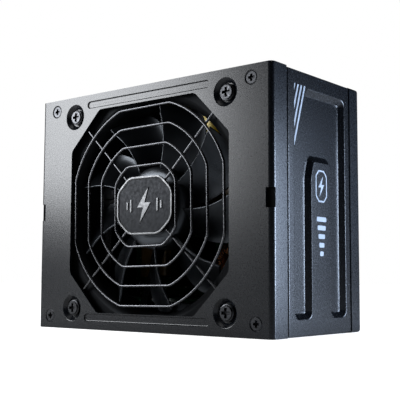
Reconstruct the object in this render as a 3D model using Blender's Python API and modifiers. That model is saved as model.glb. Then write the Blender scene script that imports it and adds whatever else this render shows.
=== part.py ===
"""A small-form-factor computer power supply, as it comes apart on a bench.

It stands on its socket panel: +Z is up, the fan face looks along -Y, and the mains inlet, the
rocker switch and the vent are on the top. The origin is the middle of the footprint, at the base.
Sizes and places are in millimetres, and each maker below turns them into metres with MM.
"""
import math

import bmesh
import bpy
from mathutils import Matrix, Vector

MM = 0.001

# Driving dimensions of the case.
WIDTH = 125.0
DEPTH = 63.5
HEIGHT = 100.0
SHEET = 1.0
BEND = 1.2
GAP = 0.3

SIDE = WIDTH / 2
FRONT = -DEPTH / 2
BACK = DEPTH / 2
FRONT_STRIP_END = -22.3
BACK_STRIP_START = 24.3
PANEL_HALF_WIDTH = SIDE - SHEET - GAP
PANEL_FRONT_EDGE = FRONT + SHEET + GAP

# The long beads and the side notches of the fan face.
BEAD_HALF_LENGTH, BEAD_HALF_WIDTH, BEAD_DEPTH = 33.6, 1.6, 0.45
BEAD_HEIGHTS = {"upper_bead": 95.5, "lower_bead": 4.95}
NOTCH_Z, NOTCH_HALF_HEIGHT, NOTCH_BACK = 50.4, 3.65, FRONT + 1.85

# The pressed area of a side plate: its depth, and how far its sloped wall runs.
PRESS_DEPTH = 1.9
PRESS_RUN = 2.1
JOGGLE_LAP_FRONT, JOGGLE_LAP_BACK = 7.0, 5.4

# The fan, a standard 92 mm frame, behind the middle of the fan face.
FAN_Z = HEIGHT / 2
FAN_SIZE = 92.0
FAN_THICKNESS = 15.0
FAN_HOLE_HALF_PITCH = 82.5 / 2
FAN_FRONT = FRONT + 3.3
FAN_BACK = FAN_FRONT + FAN_THICKNESS
DUCT_RADIUS = 43.2
HUB_RADIUS = 17.0
HUB_FRONT = FAN_FRONT + 1.4
TIP_RADIUS = 42.3
BLADE_COUNT = 9
FIRST_BLADE_DEG = 36.0

# The fan opening and the wire grille in it.
OPENING_HALF = 43.0
OPENING_FLAT_HALF = 26.2
WIRE_RADIUS = 0.7
GRILLE_Z = FAN_Z + 0.6
RING_FLAT_DISTANCES = (16.3, 24.3, 32.1, 40.1)
RING_FLAT_HALF_LENGTHS = (9.2, 11.7, 13.1, 13.4)
RING_Y = FRONT + WIRE_RADIUS
SPOKE_Y = RING_Y + 2 * WIRE_RADIUS - 0.12
SPOKE_REACH = 50.9

# Fasteners on the fan face.
DIMPLE_RADIUS = 5.2
DIMPLE_DEPTH = 2.0
TOP_COVER_SCREW = (53.1, 95.0)
BOTTOM_COVER_SCREW = (55.1, 5.2)

# The mains end.
INLET_X, MAINS_Y = -38.0, 7.5
SWITCH_X = -11.0
BEZEL_PROUD = 2.0
BEZEL_TOP, BEZEL_BOTTOM = HEIGHT + BEZEL_PROUD, HEIGHT + GAP
INLET_CORE_HALF = (13.5, 10.0)
SWITCH_CORE_HALF = (6.6, 9.7)
CUTOUT_PLAY = 0.4
INLET_DEPTH, SWITCH_DEPTH = 22.0, 15.0
BLADE_DEPTH = 25.0
ROCKER_TILT_DEG = 9.0
ROCKER_AXIS_Z = HEIGHT - 1.5
MOUNTING_HALF_X, MOUNTING_HALF_Y = 56.5, 25.75

# The vent of hexagonal holes beside the mains fittings.
VENT_PITCH = 7.2
VENT_HOLE_ACROSS_FLATS = 6.0
VENT_ROWS, VENT_COLUMNS = 8, 15
VENT_FRONT_ROW = -22.0
VENT_HALF_WIDTH = 50.4

# The boards inside.
BOARD_FRONT = 25.7
BOARD_THICKNESS = 1.6
BOARD_LOW_Z, BOARD_HIGH_Z = 13.6, 96.0
SOCKET_BOARD_Z = 11.4
PART_FOOT = BOARD_FRONT - GAP
BOSS_X, BOSS_LOW_Z, BOSS_HIGH_Z = 54.0, 18.0, 92.0

# The output sockets, and the label on the back plate.
CONTACT_PITCH = 4.2
SOCKET_WALL = 1.0
LABEL_HALF_WIDTH, LABEL_HALF_HEIGHT, LABEL_SEAT_DEPTH = 47.7, 35.7, 0.6

PALETTE = {
    "case_paint": ((0.035, 0.037, 0.042), 0.5, 0.4),
    "plate_paint": ((0.04, 0.045, 0.055), 0.45, 0.4),
    "dark_wire": ((0.25, 0.25, 0.27), 0.25, 1.0),
    "badge_metal": ((0.3, 0.3, 0.31), 0.4, 0.9),
    "dark_screw": ((0.2, 0.2, 0.22), 0.3, 1.0),
    "fan_plastic": ((0.012, 0.012, 0.014), 0.3, 0.0),
    "black_plastic": ((0.015, 0.015, 0.016), 0.45, 0.0),
    "steel": ((0.55, 0.56, 0.58), 0.3, 1.0),
    "brass": ((0.75, 0.6, 0.3), 0.3, 1.0),
    "copper": ((0.7, 0.32, 0.16), 0.35, 1.0),
    "board_green": ((0.02, 0.09, 0.04), 0.5, 0.0),
    "yellow_film": ((0.8, 0.55, 0.03), 0.45, 0.0),
    "ferrite": ((0.05, 0.05, 0.055), 0.6, 0.0),
    "aluminium": ((0.6, 0.61, 0.63), 0.4, 1.0),
    "capacitor_sleeve": ((0.02, 0.02, 0.03), 0.35, 0.0),
    "clear_film": ((0.1, 0.1, 0.1), 0.3, 0.0),
    "wire_sheath": ((0.02, 0.02, 0.02), 0.5, 0.0),
    "label_film": ((0.09, 0.09, 0.1), 0.5, 0.0),
}


# ---------------------------------------------------------------- makers

def start_scene():
    """Empties the scene and makes the collection of parts and the collection of cutters."""
    for old in list(bpy.data.objects):
        bpy.data.objects.remove(old)
    for name in ("power_supply", "cutters"):
        bpy.context.scene.collection.children.link(bpy.data.collections.new(name))


def material(key):
    made = bpy.data.materials.get(key)
    if made is None:
        colour, roughness, metallic = PALETTE[key]
        made = bpy.data.materials.new(key)
        made.use_nodes = True
        shader = made.node_tree.nodes["Principled BSDF"]
        shader.inputs["Base Color"].default_value = (*colour, 1.0)
        shader.inputs["Roughness"].default_value = roughness
        shader.inputs["Metallic"].default_value = metallic
    return made


def place(name, mesh, finish=None, location=(0, 0, 0)):
    """Links a mesh as a part, or as a hidden cutter when it has no finish."""
    obj = bpy.data.objects.new(name, mesh)
    obj.location = Vector(location) * MM
    if finish:
        mesh.materials.append(material(finish))
        bpy.data.collections["power_supply"].objects.link(obj)
        mesh.set_sharp_from_angle(angle=math.radians(35))
    else:
        bpy.data.collections["cutters"].objects.link(obj)
        obj.hide_render = True
        obj.display_type = "WIRE"
    return obj


def mesh_from(bm, name):
    bmesh.ops.recalc_face_normals(bm, faces=bm.faces)
    mesh = bpy.data.meshes.new(name)
    bm.to_mesh(mesh)
    bm.free()
    return mesh


def add_box(bm, low, high):
    low, high = Vector(low) * MM, Vector(high) * MM
    size = high - low
    matrix = Matrix.Translation((low + high) / 2) @ Matrix.Diagonal((*size, 1.0))
    return bmesh.ops.create_cube(bm, size=1.0, matrix=matrix)["verts"]


def add_round(bm, centre, length, radius, axis="Y", sides=24, end_radius=None):
    """A cylinder, or a cone frustum with end_radius at its far end, centred at centre."""
    turn = {
        "X": Matrix.Rotation(math.pi / 2, 4, "Y"),
        "Y": Matrix.Rotation(-math.pi / 2, 4, "X"),
        "Z": Matrix.Identity(4),
    }[axis]
    matrix = Matrix.Translation(Vector(centre) * MM) @ turn
    return bmesh.ops.create_cone(
        bm, cap_ends=True, segments=sides, radius1=radius * MM,
        radius2=(radius if end_radius is None else end_radius) * MM,
        depth=length * MM, matrix=matrix)["verts"]


def boxes(name, corners, finish=None, bevel=0.0):
    """One object of separate boxes, each given as (low corner, high corner)."""
    bm = bmesh.new()
    for low, high in corners:
        add_box(bm, low, high)
    obj = place(name, mesh_from(bm, name), finish)
    if bevel:
        soften(obj, bevel)
    return obj


def rounds(name, items, finish=None, sides=24):
    """One object of separate cylinders or cones: (centre, length, radius, axis[, end_radius])."""
    bm = bmesh.new()
    for centre, length, radius, axis, *end in items:
        add_round(bm, centre, length, radius, axis, sides, *end)
    obj = place(name, mesh_from(bm, name), finish)
    if finish:
        obj.data.shade_smooth()
        obj.data.set_sharp_from_angle(angle=math.radians(35))
    return obj


def soften(obj, width, segments=1):
    bevel = obj.modifiers.new("edges", "BEVEL")
    bevel.width = width * MM
    bevel.segments = segments
    bevel.limit_method = "ANGLE"
    bevel.angle_limit = math.radians(40)


def combine(obj, other, operation):
    boolean = obj.modifiers.new(operation.lower(), "BOOLEAN")
    boolean.operation = operation
    boolean.object = other
    boolean.solver = "EXACT"


def cut(obj, *cutters):
    for cutter in cutters:
        combine(obj, cutter, "DIFFERENCE")


def join(obj, *others):
    for other in others:
        combine(obj, other, "UNION")


def mesh_of(curve_object, name, finish=None):
    """Turns a curve object into a welded mesh object in the same place."""
    bpy.context.view_layer.update()
    graph = bpy.context.evaluated_depsgraph_get()
    mesh = bpy.data.meshes.new_from_object(curve_object.evaluated_get(graph))
    mesh.name = name
    bm = bmesh.new()
    bm.from_mesh(mesh)
    bmesh.ops.remove_doubles(bm, verts=bm.verts, dist=0.00002)
    bmesh.ops.recalc_face_normals(bm, faces=bm.faces)
    bm.to_mesh(mesh)
    bm.free()
    mesh.materials.clear()
    world = curve_object.matrix_world.copy()
    bpy.data.objects.remove(curve_object)
    obj = place(name, mesh, finish)
    obj.matrix_world = world
    return obj


def prism(name, outline, start, end, axis="Z", finish=None):
    """A flat outline pulled along an axis. Outline points are (x, y) for Z, (x, z) for Y and
    (y, z) for X."""
    curve = bpy.data.curves.new(name, "CURVE")
    curve.dimensions = "2D"
    curve.fill_mode = "BOTH"
    curve.extrude = abs(end - start) / 2 * MM
    spline = curve.splines.new("POLY")
    spline.points.add(len(outline) - 1)
    for point, (u, v) in zip(spline.points, outline):
        point.co = (u * MM, v * MM, 0, 1)
    spline.use_cyclic_u = True
    obj = bpy.data.objects.new(name, curve)
    bpy.context.scene.collection.objects.link(obj)
    middle = (start + end) / 2 * MM
    stand = {
        "Z": Matrix.Translation((0, 0, middle)),
        "Y": Matrix.Translation((0, middle, 0)) @ Matrix.Rotation(math.pi / 2, 4, "X"),
        "X": Matrix.Translation((middle, 0, 0)) @ Matrix(
            ((0, 0, 1, 0), (1, 0, 0, 0), (0, 1, 0, 0), (0, 0, 0, 1))),
    }[axis]
    obj.matrix_world = stand
    return mesh_of(obj, name, finish)


def tube(name, paths, radius, finish=None, closed=False, resolution=2):
    """Round wires or tubes along paths of points, as one mesh object."""
    curve = bpy.data.curves.new(name, "CURVE")
    curve.dimensions = "3D"
    curve.bevel_depth = radius * MM
    curve.bevel_resolution = resolution
    curve.use_fill_caps = not closed
    for path in paths:
        spline = curve.splines.new("POLY")
        spline.points.add(len(path) - 1)
        for point, place_mm in zip(spline.points, path):
            point.co = (*(Vector(place_mm) * MM), 1)
        spline.use_cyclic_u = closed
    obj = bpy.data.objects.new(name, curve)
    bpy.context.scene.collection.objects.link(obj)
    made = mesh_of(obj, name, finish)
    made.data.shade_smooth()
    made.data.set_sharp_from_angle(angle=math.radians(50))
    return made


def turned(name, profile, centre, axis, finish=None, steps=32):
    """A profile of (radius, height) points, from the axis at the top down to the axis, turned
    about the given axis. Height runs along +axis from centre."""
    bm = bmesh.new()
    points = [bm.verts.new((r * MM, 0, h * MM)) for r, h in profile]
    for a, b in zip(points, points[1:]):
        bm.edges.new((a, b))
    mesh = bpy.data.meshes.new(name)
    bm.to_mesh(mesh)
    bm.free()
    obj = place(name, mesh, finish, centre)
    if axis == "Y":
        obj.rotation_euler = (-math.pi / 2, 0, 0)
    screw = obj.modifiers.new("turn", "SCREW")
    screw.steps = steps
    screw.render_steps = steps
    screw.use_merge_vertices = True
    screw.merge_threshold = 0.00002
    screw.use_smooth_shade = True
    return obj


def arc(centre, radius, start_deg, end_deg, steps):
    u, v = centre
    angles = [math.radians(start_deg + (end_deg - start_deg) * i / steps) for i in range(steps + 1)]
    return [(u + radius * math.cos(a), v + radius * math.sin(a)) for a in angles]


def rounded_rectangle(u, v, half_u, half_v, radius, steps=4):
    outline = []
    for sign_u, sign_v, start in ((1, 1, 0), (-1, 1, 90), (-1, -1, 180), (1, -1, 270)):
        corner = (u + sign_u * (half_u - radius), v + sign_v * (half_v - radius))
        outline += arc(corner, radius, start, start + 90, steps)
    return outline


def octagon(u, v, half_u, half_v, flat_u, flat_v):
    """A rectangle with its corners cut off. flat_u and flat_v are half the flats' lengths."""
    return [(u + half_u, v + flat_v), (u + flat_u, v + half_v), (u - flat_u, v + half_v),
            (u - half_u, v + flat_v), (u - half_u, v - flat_v), (u - flat_u, v - half_v),
            (u + flat_u, v - half_v), (u + half_u, v - flat_v)]


def inset(outline, distance):
    """Moves each edge of a counter-clockwise outline inwards by distance, with mitred corners."""
    moved = []
    for i, corner in enumerate(outline):
        before, here = Vector(outline[i - 1]), Vector(corner)
        after = Vector(outline[(i + 1) % len(outline)])
        first, second = (here - before).normalized(), (after - here).normalized()
        normal_a, normal_b = Vector((-first.y, first.x)), Vector((-second.y, second.x))
        mitre = (normal_a + normal_b) / (1 + normal_a.dot(normal_b))
        moved.append(tuple(here + mitre * distance))
    return moved


def frustum(name, outline, other_outline, x_start, x_end):
    """A solid between two outlines of (y, z) points with as many corners, at two values of x."""
    bm = bmesh.new()
    first = [bm.verts.new((x_start * MM, y * MM, z * MM)) for y, z in outline]
    last = [bm.verts.new((x_end * MM, y * MM, z * MM)) for y, z in other_outline]
    bm.faces.new(first)
    bm.faces.new(list(reversed(last)))
    for i in range(len(first)):
        j = (i + 1) % len(first)
        bm.faces.new((first[i], last[i], last[j], first[j]))
    return place(name, mesh_from(bm, name))


def corners_of_fan(half=FAN_HOLE_HALF_PITCH):
    return [(sx * half, FAN_Z + sz * half) for sx in (-1, 1) for sz in (-1, 1)]


def cover_screw_places():
    return [(sx * x, z) for x, z in (TOP_COVER_SCREW, BOTTOM_COVER_SCREW) for sx in (-1, 1)]


# ---------------------------------------------------------------- case

def channel_outline():
    """The folded fan cover seen from above: the fan face and the two side strips."""
    outer = SIDE - BEND
    knee = FRONT + BEND
    inside = BEND - SHEET
    left_outer = arc((-outer, knee), BEND, 180, 270, 3)
    right_outer = arc((outer, knee), BEND, 270, 360, 3)
    right_inner = arc((outer, knee), inside, 360, 270, 2)
    left_inner = arc((-outer, knee), inside, 270, 180, 2)
    return ([(-SIDE, FRONT_STRIP_END)] + left_outer + right_outer + [(SIDE, FRONT_STRIP_END)]
            + [(SIDE - SHEET, FRONT_STRIP_END)] + right_inner + left_inner
            + [(-SIDE + SHEET, FRONT_STRIP_END)])


def fan_cover():
    cover = prism("fan_cover", channel_outline(), 0, HEIGHT, "Z", "case_paint")
    cup_floor = FRONT + DIMPLE_DEPTH
    cup_back = cup_floor + SHEET
    cups = rounds("cup_backs", [((x, (FRONT + SHEET - GAP + cup_back) / 2, z),
                                 cup_back - FRONT - SHEET + GAP, DIMPLE_RADIUS + SHEET, "Y")
                                for x, z in corners_of_fan()])
    join(cover, cups)
    opening = prism("fan_opening", octagon(0, FAN_Z, OPENING_HALF, OPENING_HALF,
                                           OPENING_FLAT_HALF, OPENING_FLAT_HALF),
                    FRONT - 2, FRONT + 2, "Y")
    cavities = rounds("cup_cavities", [((x, (FRONT - 2 + cup_floor) / 2, z),
                                        DIMPLE_DEPTH + 2, DIMPLE_RADIUS, "Y")
                                       for x, z in corners_of_fan()])
    screw_holes = rounds("fan_screw_holes", [((x, FRONT + 3, z), 6, 2.3, "Y")
                                             for x, z in corners_of_fan()], sides=12)
    cover_holes = rounds("cover_screw_holes", [((x, FRONT + 1, z), 6, 1.9, "Y")
                                               for x, z in cover_screw_places()], sides=16)
    sinks = rounds("countersinks", [((x, FRONT + 0.2, z), 1.2, 3.3, "Y", 1.9)
                                    for x, z in cover_screw_places()], sides=16)
    notches = boxes("side_notches", [((sx * SIDE - 3, FRONT - 2, NOTCH_Z - NOTCH_HALF_HEIGHT),
                                      (sx * SIDE + 3, NOTCH_BACK, NOTCH_Z + NOTCH_HALF_HEIGHT))
                                     for sx in (-1, 1)])
    cut(cover, opening, cavities, screw_holes, cover_holes, sinks, notches)
    for name, z in BEAD_HEIGHTS.items():
        cut(cover, prism(name, rounded_rectangle(0, z, BEAD_HALF_LENGTH, BEAD_HALF_WIDTH,
                                                 BEAD_HALF_WIDTH, 4),
                         FRONT - 1, FRONT + BEAD_DEPTH, "Y"))


def hexagon_field():
    """The vent's hexagonal holes: rows of (x, y) centres that keep clear of the mains fittings."""
    row_pitch = VENT_PITCH * math.sqrt(3) / 2
    centres = []
    for row in range(VENT_ROWS):
        y = VENT_FRONT_ROW + row * row_pitch
        shift = VENT_PITCH / 2 if row % 2 else 0
        for column in range(VENT_COLUMNS):
            x = -VENT_HALF_WIDTH + column * VENT_PITCH + shift
            beside_fittings = x < SWITCH_X + 11.5 and y > MAINS_Y - 16.5
            if x <= VENT_HALF_WIDTH and not beside_fittings:
                centres.append((x, y))
    return centres


def socket_places():
    """Each output socket: (name, x, y, columns of contacts)."""
    front_row, back_row = -1.0, 16.0
    return ([("motherboard_socket_1", -33.0, front_row, 9),
             ("motherboard_socket_2", 5.0, front_row, 5),
             ("drive_socket_1", 36.0, front_row, 3), ("drive_socket_2", 36.0, back_row, 3)]
            + [(f"graphics_socket_{i + 1}", -43.5 + 25.0 * i, back_row, 4) for i in range(3)])


def socket_half_size(columns):
    return columns * CONTACT_PITCH / 2 + SOCKET_WALL, CONTACT_PITCH + SOCKET_WALL


def rear_tray():
    """Back plate, mains panel and socket panel in one folded sheet, with side strips."""
    far = 2 * WIDTH
    tray = boxes("rear_tray", [((-SIDE, FRONT - 10, 0), (SIDE, BACK, HEIGHT))], "case_paint")
    soften(tray, BEND, 2)
    inside = SIDE - SHEET
    cut(tray,
        boxes("tray_hollow", [((-inside, -far, SHEET), (inside, BACK - SHEET, HEIGHT - SHEET))]),
        boxes("tray_front", [((-far, -far, -far), (far, PANEL_FRONT_EDGE, far))]),
        boxes("tray_sides", [((PANEL_HALF_WIDTH, -far, -far), (far, BACK_STRIP_START, far)),
                             ((-far, -far, -far), (-PANEL_HALF_WIDTH, BACK_STRIP_START, far))]))
    tab_front = PANEL_FRONT_EDGE + 0.1
    tabs = boxes("screw_tabs", [((min(sx * 48.5, sx * 59.5), tab_front, min(z, edge)),
                                 (max(sx * 48.5, sx * 59.5), tab_front + SHEET, max(z, edge)))
                                for sx in (-1, 1) for z, edge in ((89.5, 99.5), (10.8, 0.5))])
    join(tray, tabs)
    tapped = rounds("cover_screw_threads", [((x, FRONT + 2, z), 6, 1.6, "Y")
                                            for x, z in cover_screw_places()], sides=12)
    fittings = []
    for x, half in ((INLET_X, INLET_CORE_HALF), (SWITCH_X, SWITCH_CORE_HALF)):
        half_x, half_y = half[0] + CUTOUT_PLAY, half[1] + CUTOUT_PLAY
        fittings.append(((x - half_x, MAINS_Y - half_y, HEIGHT - 3),
                         (x + half_x, MAINS_Y + half_y, HEIGHT + 3)))
    mounting = rounds("case_mounting_threads", [
        ((sx * MOUNTING_HALF_X, sy * MOUNTING_HALF_Y, HEIGHT), 6, 1.6, "Z")
        for sx in (-1, 1) for sy in (-1, 1)], sides=12)
    bm = bmesh.new()
    for x, y in hexagon_field():
        turned_hex = add_round(bm, (x, y, HEIGHT), 6, VENT_HOLE_ACROSS_FLATS / math.sqrt(3), "Z", 6)
        turn = Matrix.Rotation(math.pi / 6, 3, "Z")
        bmesh.ops.rotate(bm, verts=turned_hex, cent=Vector((x, y, HEIGHT)) * MM, matrix=turn)
    vent = place("vent_holes", mesh_from(bm, "vent_holes"))
    windows = []
    for _, x, y, columns in socket_places():
        half_x, half_y = socket_half_size(columns)
        windows.append(((x - half_x - GAP, y - half_y - GAP, -3),
                        (x + half_x + GAP, y + half_y + GAP, 3)))
    seat_half_x, seat_half_z = LABEL_HALF_WIDTH + GAP, LABEL_HALF_HEIGHT + GAP
    label_seat = boxes("label_recess", [((-seat_half_x, BACK - LABEL_SEAT_DEPTH, FAN_Z - seat_half_z),
                                         (seat_half_x, BACK + 2, FAN_Z + seat_half_z))])
    bosses, threads = standoffs()
    join(tray, bosses)
    cut(tray, tapped, boxes("fitting_cutouts", fittings), mounting, vent,
        boxes("socket_windows", windows), label_seat, threads)


def rating_label():
    boxes("rating_label", [((-LABEL_HALF_WIDTH, BACK - GAP, FAN_Z - LABEL_HALF_HEIGHT),
                            (LABEL_HALF_WIDTH, BACK, FAN_Z + LABEL_HALF_HEIGHT))], "label_film")


def pressed_outline():
    """The rim of the pressed area of a side plate, counter-clockwise as (y, z): a broad field
    with a slanted corner, that leaves a raised tongue standing up from the bottom."""
    return [(19.8, 6.4), (19.8, 91.0), (17.3, 93.5), (-9.3, 93.5), (-17.5, 69.0), (-17.5, 6.4),
            (-5.6, 6.4), (-5.6, 59.0), (-3.8, 66.2), (8.2, 66.2), (8.2, 6.4)]


def side_plate(name, side):
    """A stamped side plate, joggled so that its long edges run inside the covers' strips."""
    outer, inner = SIDE, SIDE - SHEET
    tongue_outer, tongue_inner = outer - SHEET - GAP, outer - 2 * SHEET - GAP
    front, back = FRONT_STRIP_END + GAP, BACK_STRIP_START - GAP
    lap_front, lap_back = front - JOGGLE_LAP_FRONT, back + JOGGLE_LAP_BACK
    half = [(tongue_outer, lap_front), (tongue_outer, front), (outer, front), (outer, back),
            (tongue_outer, back), (tongue_outer, lap_back), (tongue_inner, lap_back),
            (tongue_inner, back - SHEET), (inner, back - SHEET), (inner, front + SHEET),
            (tongue_inner, front + SHEET), (tongue_inner, lap_front)]
    outline = [(side * x, y) for x, y in half]
    plate = prism(name, outline, 0.6, HEIGHT - 0.6, "Z", "plate_paint")
    rim, floor = inset(pressed_outline(), -SHEET / 2), inset(pressed_outline(), PRESS_RUN)
    backing = frustum(name + "_backing", rim, floor,
                      side * (outer - SHEET / 2), side * (outer - PRESS_DEPTH - SHEET))
    field = frustum(name + "_field", rim, floor,
                    side * (outer + SHEET / 2), side * (outer - PRESS_DEPTH))
    join(plate, backing)
    low_x, high_x = sorted((side * (tongue_inner - 1), side * (tongue_outer + 0.15)))
    ends = []
    for low_y, high_y in ((front - 9, front + 0.02), (back - 0.02, back + 9)):
        ends += [((low_x, low_y, -1), (high_x, high_y, 1.5)),
                 ((low_x, low_y, HEIGHT - 1.5), (high_x, high_y, HEIGHT + 1))]
    joggle_ends = []
    for z_low, z_high in ((-1, 1.5), (HEIGHT - 1.5, HEIGHT + 1)):
        joggle_ends.append(((low_x, front - 1, z_low), (high_x, back + 1, z_high)))
    cut(plate, field, boxes(name + "_tongue_ends", ends), boxes(name + "_joggle_ends", joggle_ends))


def screw(name, x, z, head_height, head_radius, shank_radius, length, head_front, sunk):
    """A cross-head screw that points along +Y."""
    under_head = shank_radius if sunk else head_radius
    head = rounds(name, [((x, head_front + head_height / 2, z), head_height, head_radius, "Y",
                          under_head)], "dark_screw", 16)
    overlap = 0.2
    shank_length = length - head_height + overlap
    middle = head_front + length - shank_length / 2
    join(head, rounds(name + "_shank", [((x, middle, z), shank_length, shank_radius, "Y")],
                      sides=10))
    arm, reach, depth = 0.35, head_radius * 0.55, 0.6
    for tag, half_x, half_z in (("across", reach, arm), ("upright", arm, reach)):
        cut(head, boxes(f"{name}_{tag}", [((x - half_x, head_front - 1, z - half_z),
                                           (x + half_x, head_front + depth, z + half_z))]))


def case_screws():
    for index, (x, z) in enumerate(cover_screw_places(), 1):
        screw(f"cover_screw_{index}", x, z, 0.8, 2.75, 1.3, 5.0, FRONT, True)
    for index, (x, z) in enumerate(corners_of_fan(), 1):
        screw(f"fan_screw_{index}", x, z, DIMPLE_DEPTH - 0.6, 3.3, 1.75, 9.5, FRONT + GAP, False)


# ---------------------------------------------------------------- grille

def ring_path(flat_distance, flat_half):
    """A circle flattened on four sides: four flats, joined by arcs about the grille's centre."""
    radius = math.hypot(flat_distance, flat_half)
    tilt = math.degrees(math.atan2(flat_half, flat_distance))
    path = []
    for quarter in range(4):
        path += arc((0, GRILLE_Z), radius, 90 * quarter + tilt, 90 * (quarter + 1) - tilt, 6)
    return [(x, RING_Y, z) for x, z in path]


def fan_grille():
    rings = [ring_path(d, f) for d, f in zip(RING_FLAT_DISTANCES, RING_FLAT_HALF_LENGTHS)]
    grille = tube("fan_grille", rings, WIRE_RADIUS, "dark_wire", closed=True, resolution=1)
    spokes = []
    for quarter in range(4):
        angle = math.radians(45 + 90 * quarter)
        reaches = (7.0, SPOKE_REACH)
        spokes.append([(r * math.cos(angle), SPOKE_Y, GRILLE_Z + r * math.sin(angle))
                       for r in reaches])
    join(grille, tube("grille_spokes", spokes, WIRE_RADIUS, resolution=1))
    badge_front, badge_back = FRONT, SPOKE_Y - WIRE_RADIUS - GAP
    badge = prism("grille_badge", octagon(0, GRILLE_Z, 15.0, 11.8, 8.4, 5.8),
                  badge_front, badge_back, "Y", "badge_metal")
    face = prism("badge_field", octagon(0, GRILLE_Z, 14.0, 10.8, 7.9, 5.3),
                 badge_front - 1, badge_front + 0.35, "Y")
    cut(badge, face)


# ---------------------------------------------------------------- fan

def fan_frame():
    half = FAN_SIZE / 2
    flange = 3.6
    front = rounded_rectangle(0, FAN_Z, half, half, 4, 3)
    frame = prism("fan_frame", front, FAN_FRONT, FAN_FRONT + flange, "Y", "fan_plastic")
    back_flange = prism("fan_back_flange", front, FAN_BACK - flange, FAN_BACK, "Y")
    middle = (FAN_FRONT + FAN_BACK) / 2
    sleeve = rounds("fan_sleeve", [((0, middle, FAN_Z), FAN_THICKNESS - 1, 45.2, "Y")], sides=48)
    join(frame, back_flange, sleeve)
    duct = rounds("fan_duct", [((0, middle, FAN_Z), FAN_THICKNESS + 4, DUCT_RADIUS, "Y")], sides=48)
    mouth = rounds("fan_mouth", [((0, FAN_FRONT + 0.5, FAN_Z), 3.0, 46.3, "Y", 42.9)], sides=48)
    holes = rounds("fan_corner_holes", [((x, middle, z), FAN_THICKNESS + 4, 2.15, "Y")
                                        for x, z in corners_of_fan()], sides=12)
    cut(frame, duct, mouth, holes)
    base = rounds("motor_base", [((0, FAN_BACK - 1.3, FAN_Z), 2.6, HUB_RADIUS - 0.5, "Y")])
    bm = bmesh.new()
    for quarter in range(4):
        verts = add_box(bm, (-1.6, FAN_BACK - 2.5, 8), (1.6, FAN_BACK - 0.1, 44.2))
        turn = Matrix.Rotation(math.radians(20 + 90 * quarter), 3, "Y")
        bmesh.ops.rotate(bm, verts=verts, cent=(0, 0, 0), matrix=turn)
        bmesh.ops.translate(bm, verts=verts, vec=(0, 0, FAN_Z * MM))
    struts = place("fan_struts", mesh_from(bm, "fan_struts"))
    join(frame, base, struts)
    bore = rounds("bearing_seat", [((0, FAN_BACK, FAN_Z), 8, 4.3, "Y")], sides=20)
    cut(frame, bore)


def blade_surface(bm, start_deg):
    """One swept blade: its leading edge faces the intake and it twists back towards the outlet."""
    radial_steps, chord_steps = 5, 3
    leading_y, trailing_y = HUB_FRONT + 0.5, FAN_BACK - 3.3
    grid = []
    for i in range(radial_steps + 1):
        share = i / radial_steps
        radius = HUB_RADIUS - 0.8 + share * (TIP_RADIUS - HUB_RADIUS + 0.8)
        sweep = 11.0 * share ** 1.8
        chord = 33.0 - 8.0 * share
        row = []
        for j in range(chord_steps + 1):
            along = j / chord_steps
            angle = math.radians(start_deg + sweep - chord * along)
            y = leading_y + (trailing_y - leading_y) * math.sin(along * math.pi / 2) ** 1.1
            row.append(bm.verts.new((radius * math.cos(angle) * MM, y * MM,
                                     radius * math.sin(angle) * MM)))
        grid.append(row)
    for lower, upper in zip(grid, grid[1:]):
        for j in range(chord_steps):
            bm.faces.new((lower[j], lower[j + 1], upper[j + 1], upper[j]))


def fan_rotor():
    hub_length = 9.9
    cup_wall = 1.6
    hub = turned("fan_impeller", [
        (0, 0), (HUB_RADIUS - 1.2, 0), (HUB_RADIUS, -1.2), (HUB_RADIUS, -hub_length),
        (HUB_RADIUS - cup_wall, -hub_length), (HUB_RADIUS - cup_wall, -1.6), (0, -1.6)],
        (0, HUB_FRONT, FAN_Z), "Y", "fan_plastic", 36)
    # The profile's height runs towards +Y here, so that the cup is open to the back.
    hub.rotation_euler = (math.pi / 2, 0, 0)
    bm = bmesh.new()
    for index in range(BLADE_COUNT):
        blade_surface(bm, FIRST_BLADE_DEG + index * 360 / BLADE_COUNT)
    blades = place("blades", mesh_from(bm, "blades"), None, (0, 0, FAN_Z))
    thickness = blades.modifiers.new("thickness", "SOLIDIFY")
    thickness.thickness = 1.0 * MM
    thickness.offset = 0
    join(hub, blades)
    magnet_outer = HUB_RADIUS - cup_wall - GAP
    magnet = turned("fan_magnet_ring", [
        (magnet_outer - 1.6, 0), (magnet_outer, 0), (magnet_outer, -7.0),
        (magnet_outer - 1.6, -7.0), (magnet_outer - 1.6, 0)],
        (0, HUB_FRONT + 2.2, FAN_Z), "Y", "ferrite", 28)
    magnet.rotation_euler = (math.pi / 2, 0, 0)
    shaft_front, shaft_back = HUB_FRONT + 1.9, FAN_BACK - 1.7
    rounds("fan_shaft", [((0, (shaft_front + shaft_back) / 2, FAN_Z),
                          shaft_back - shaft_front, 1.5, "Y")], "steel", 16)


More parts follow.
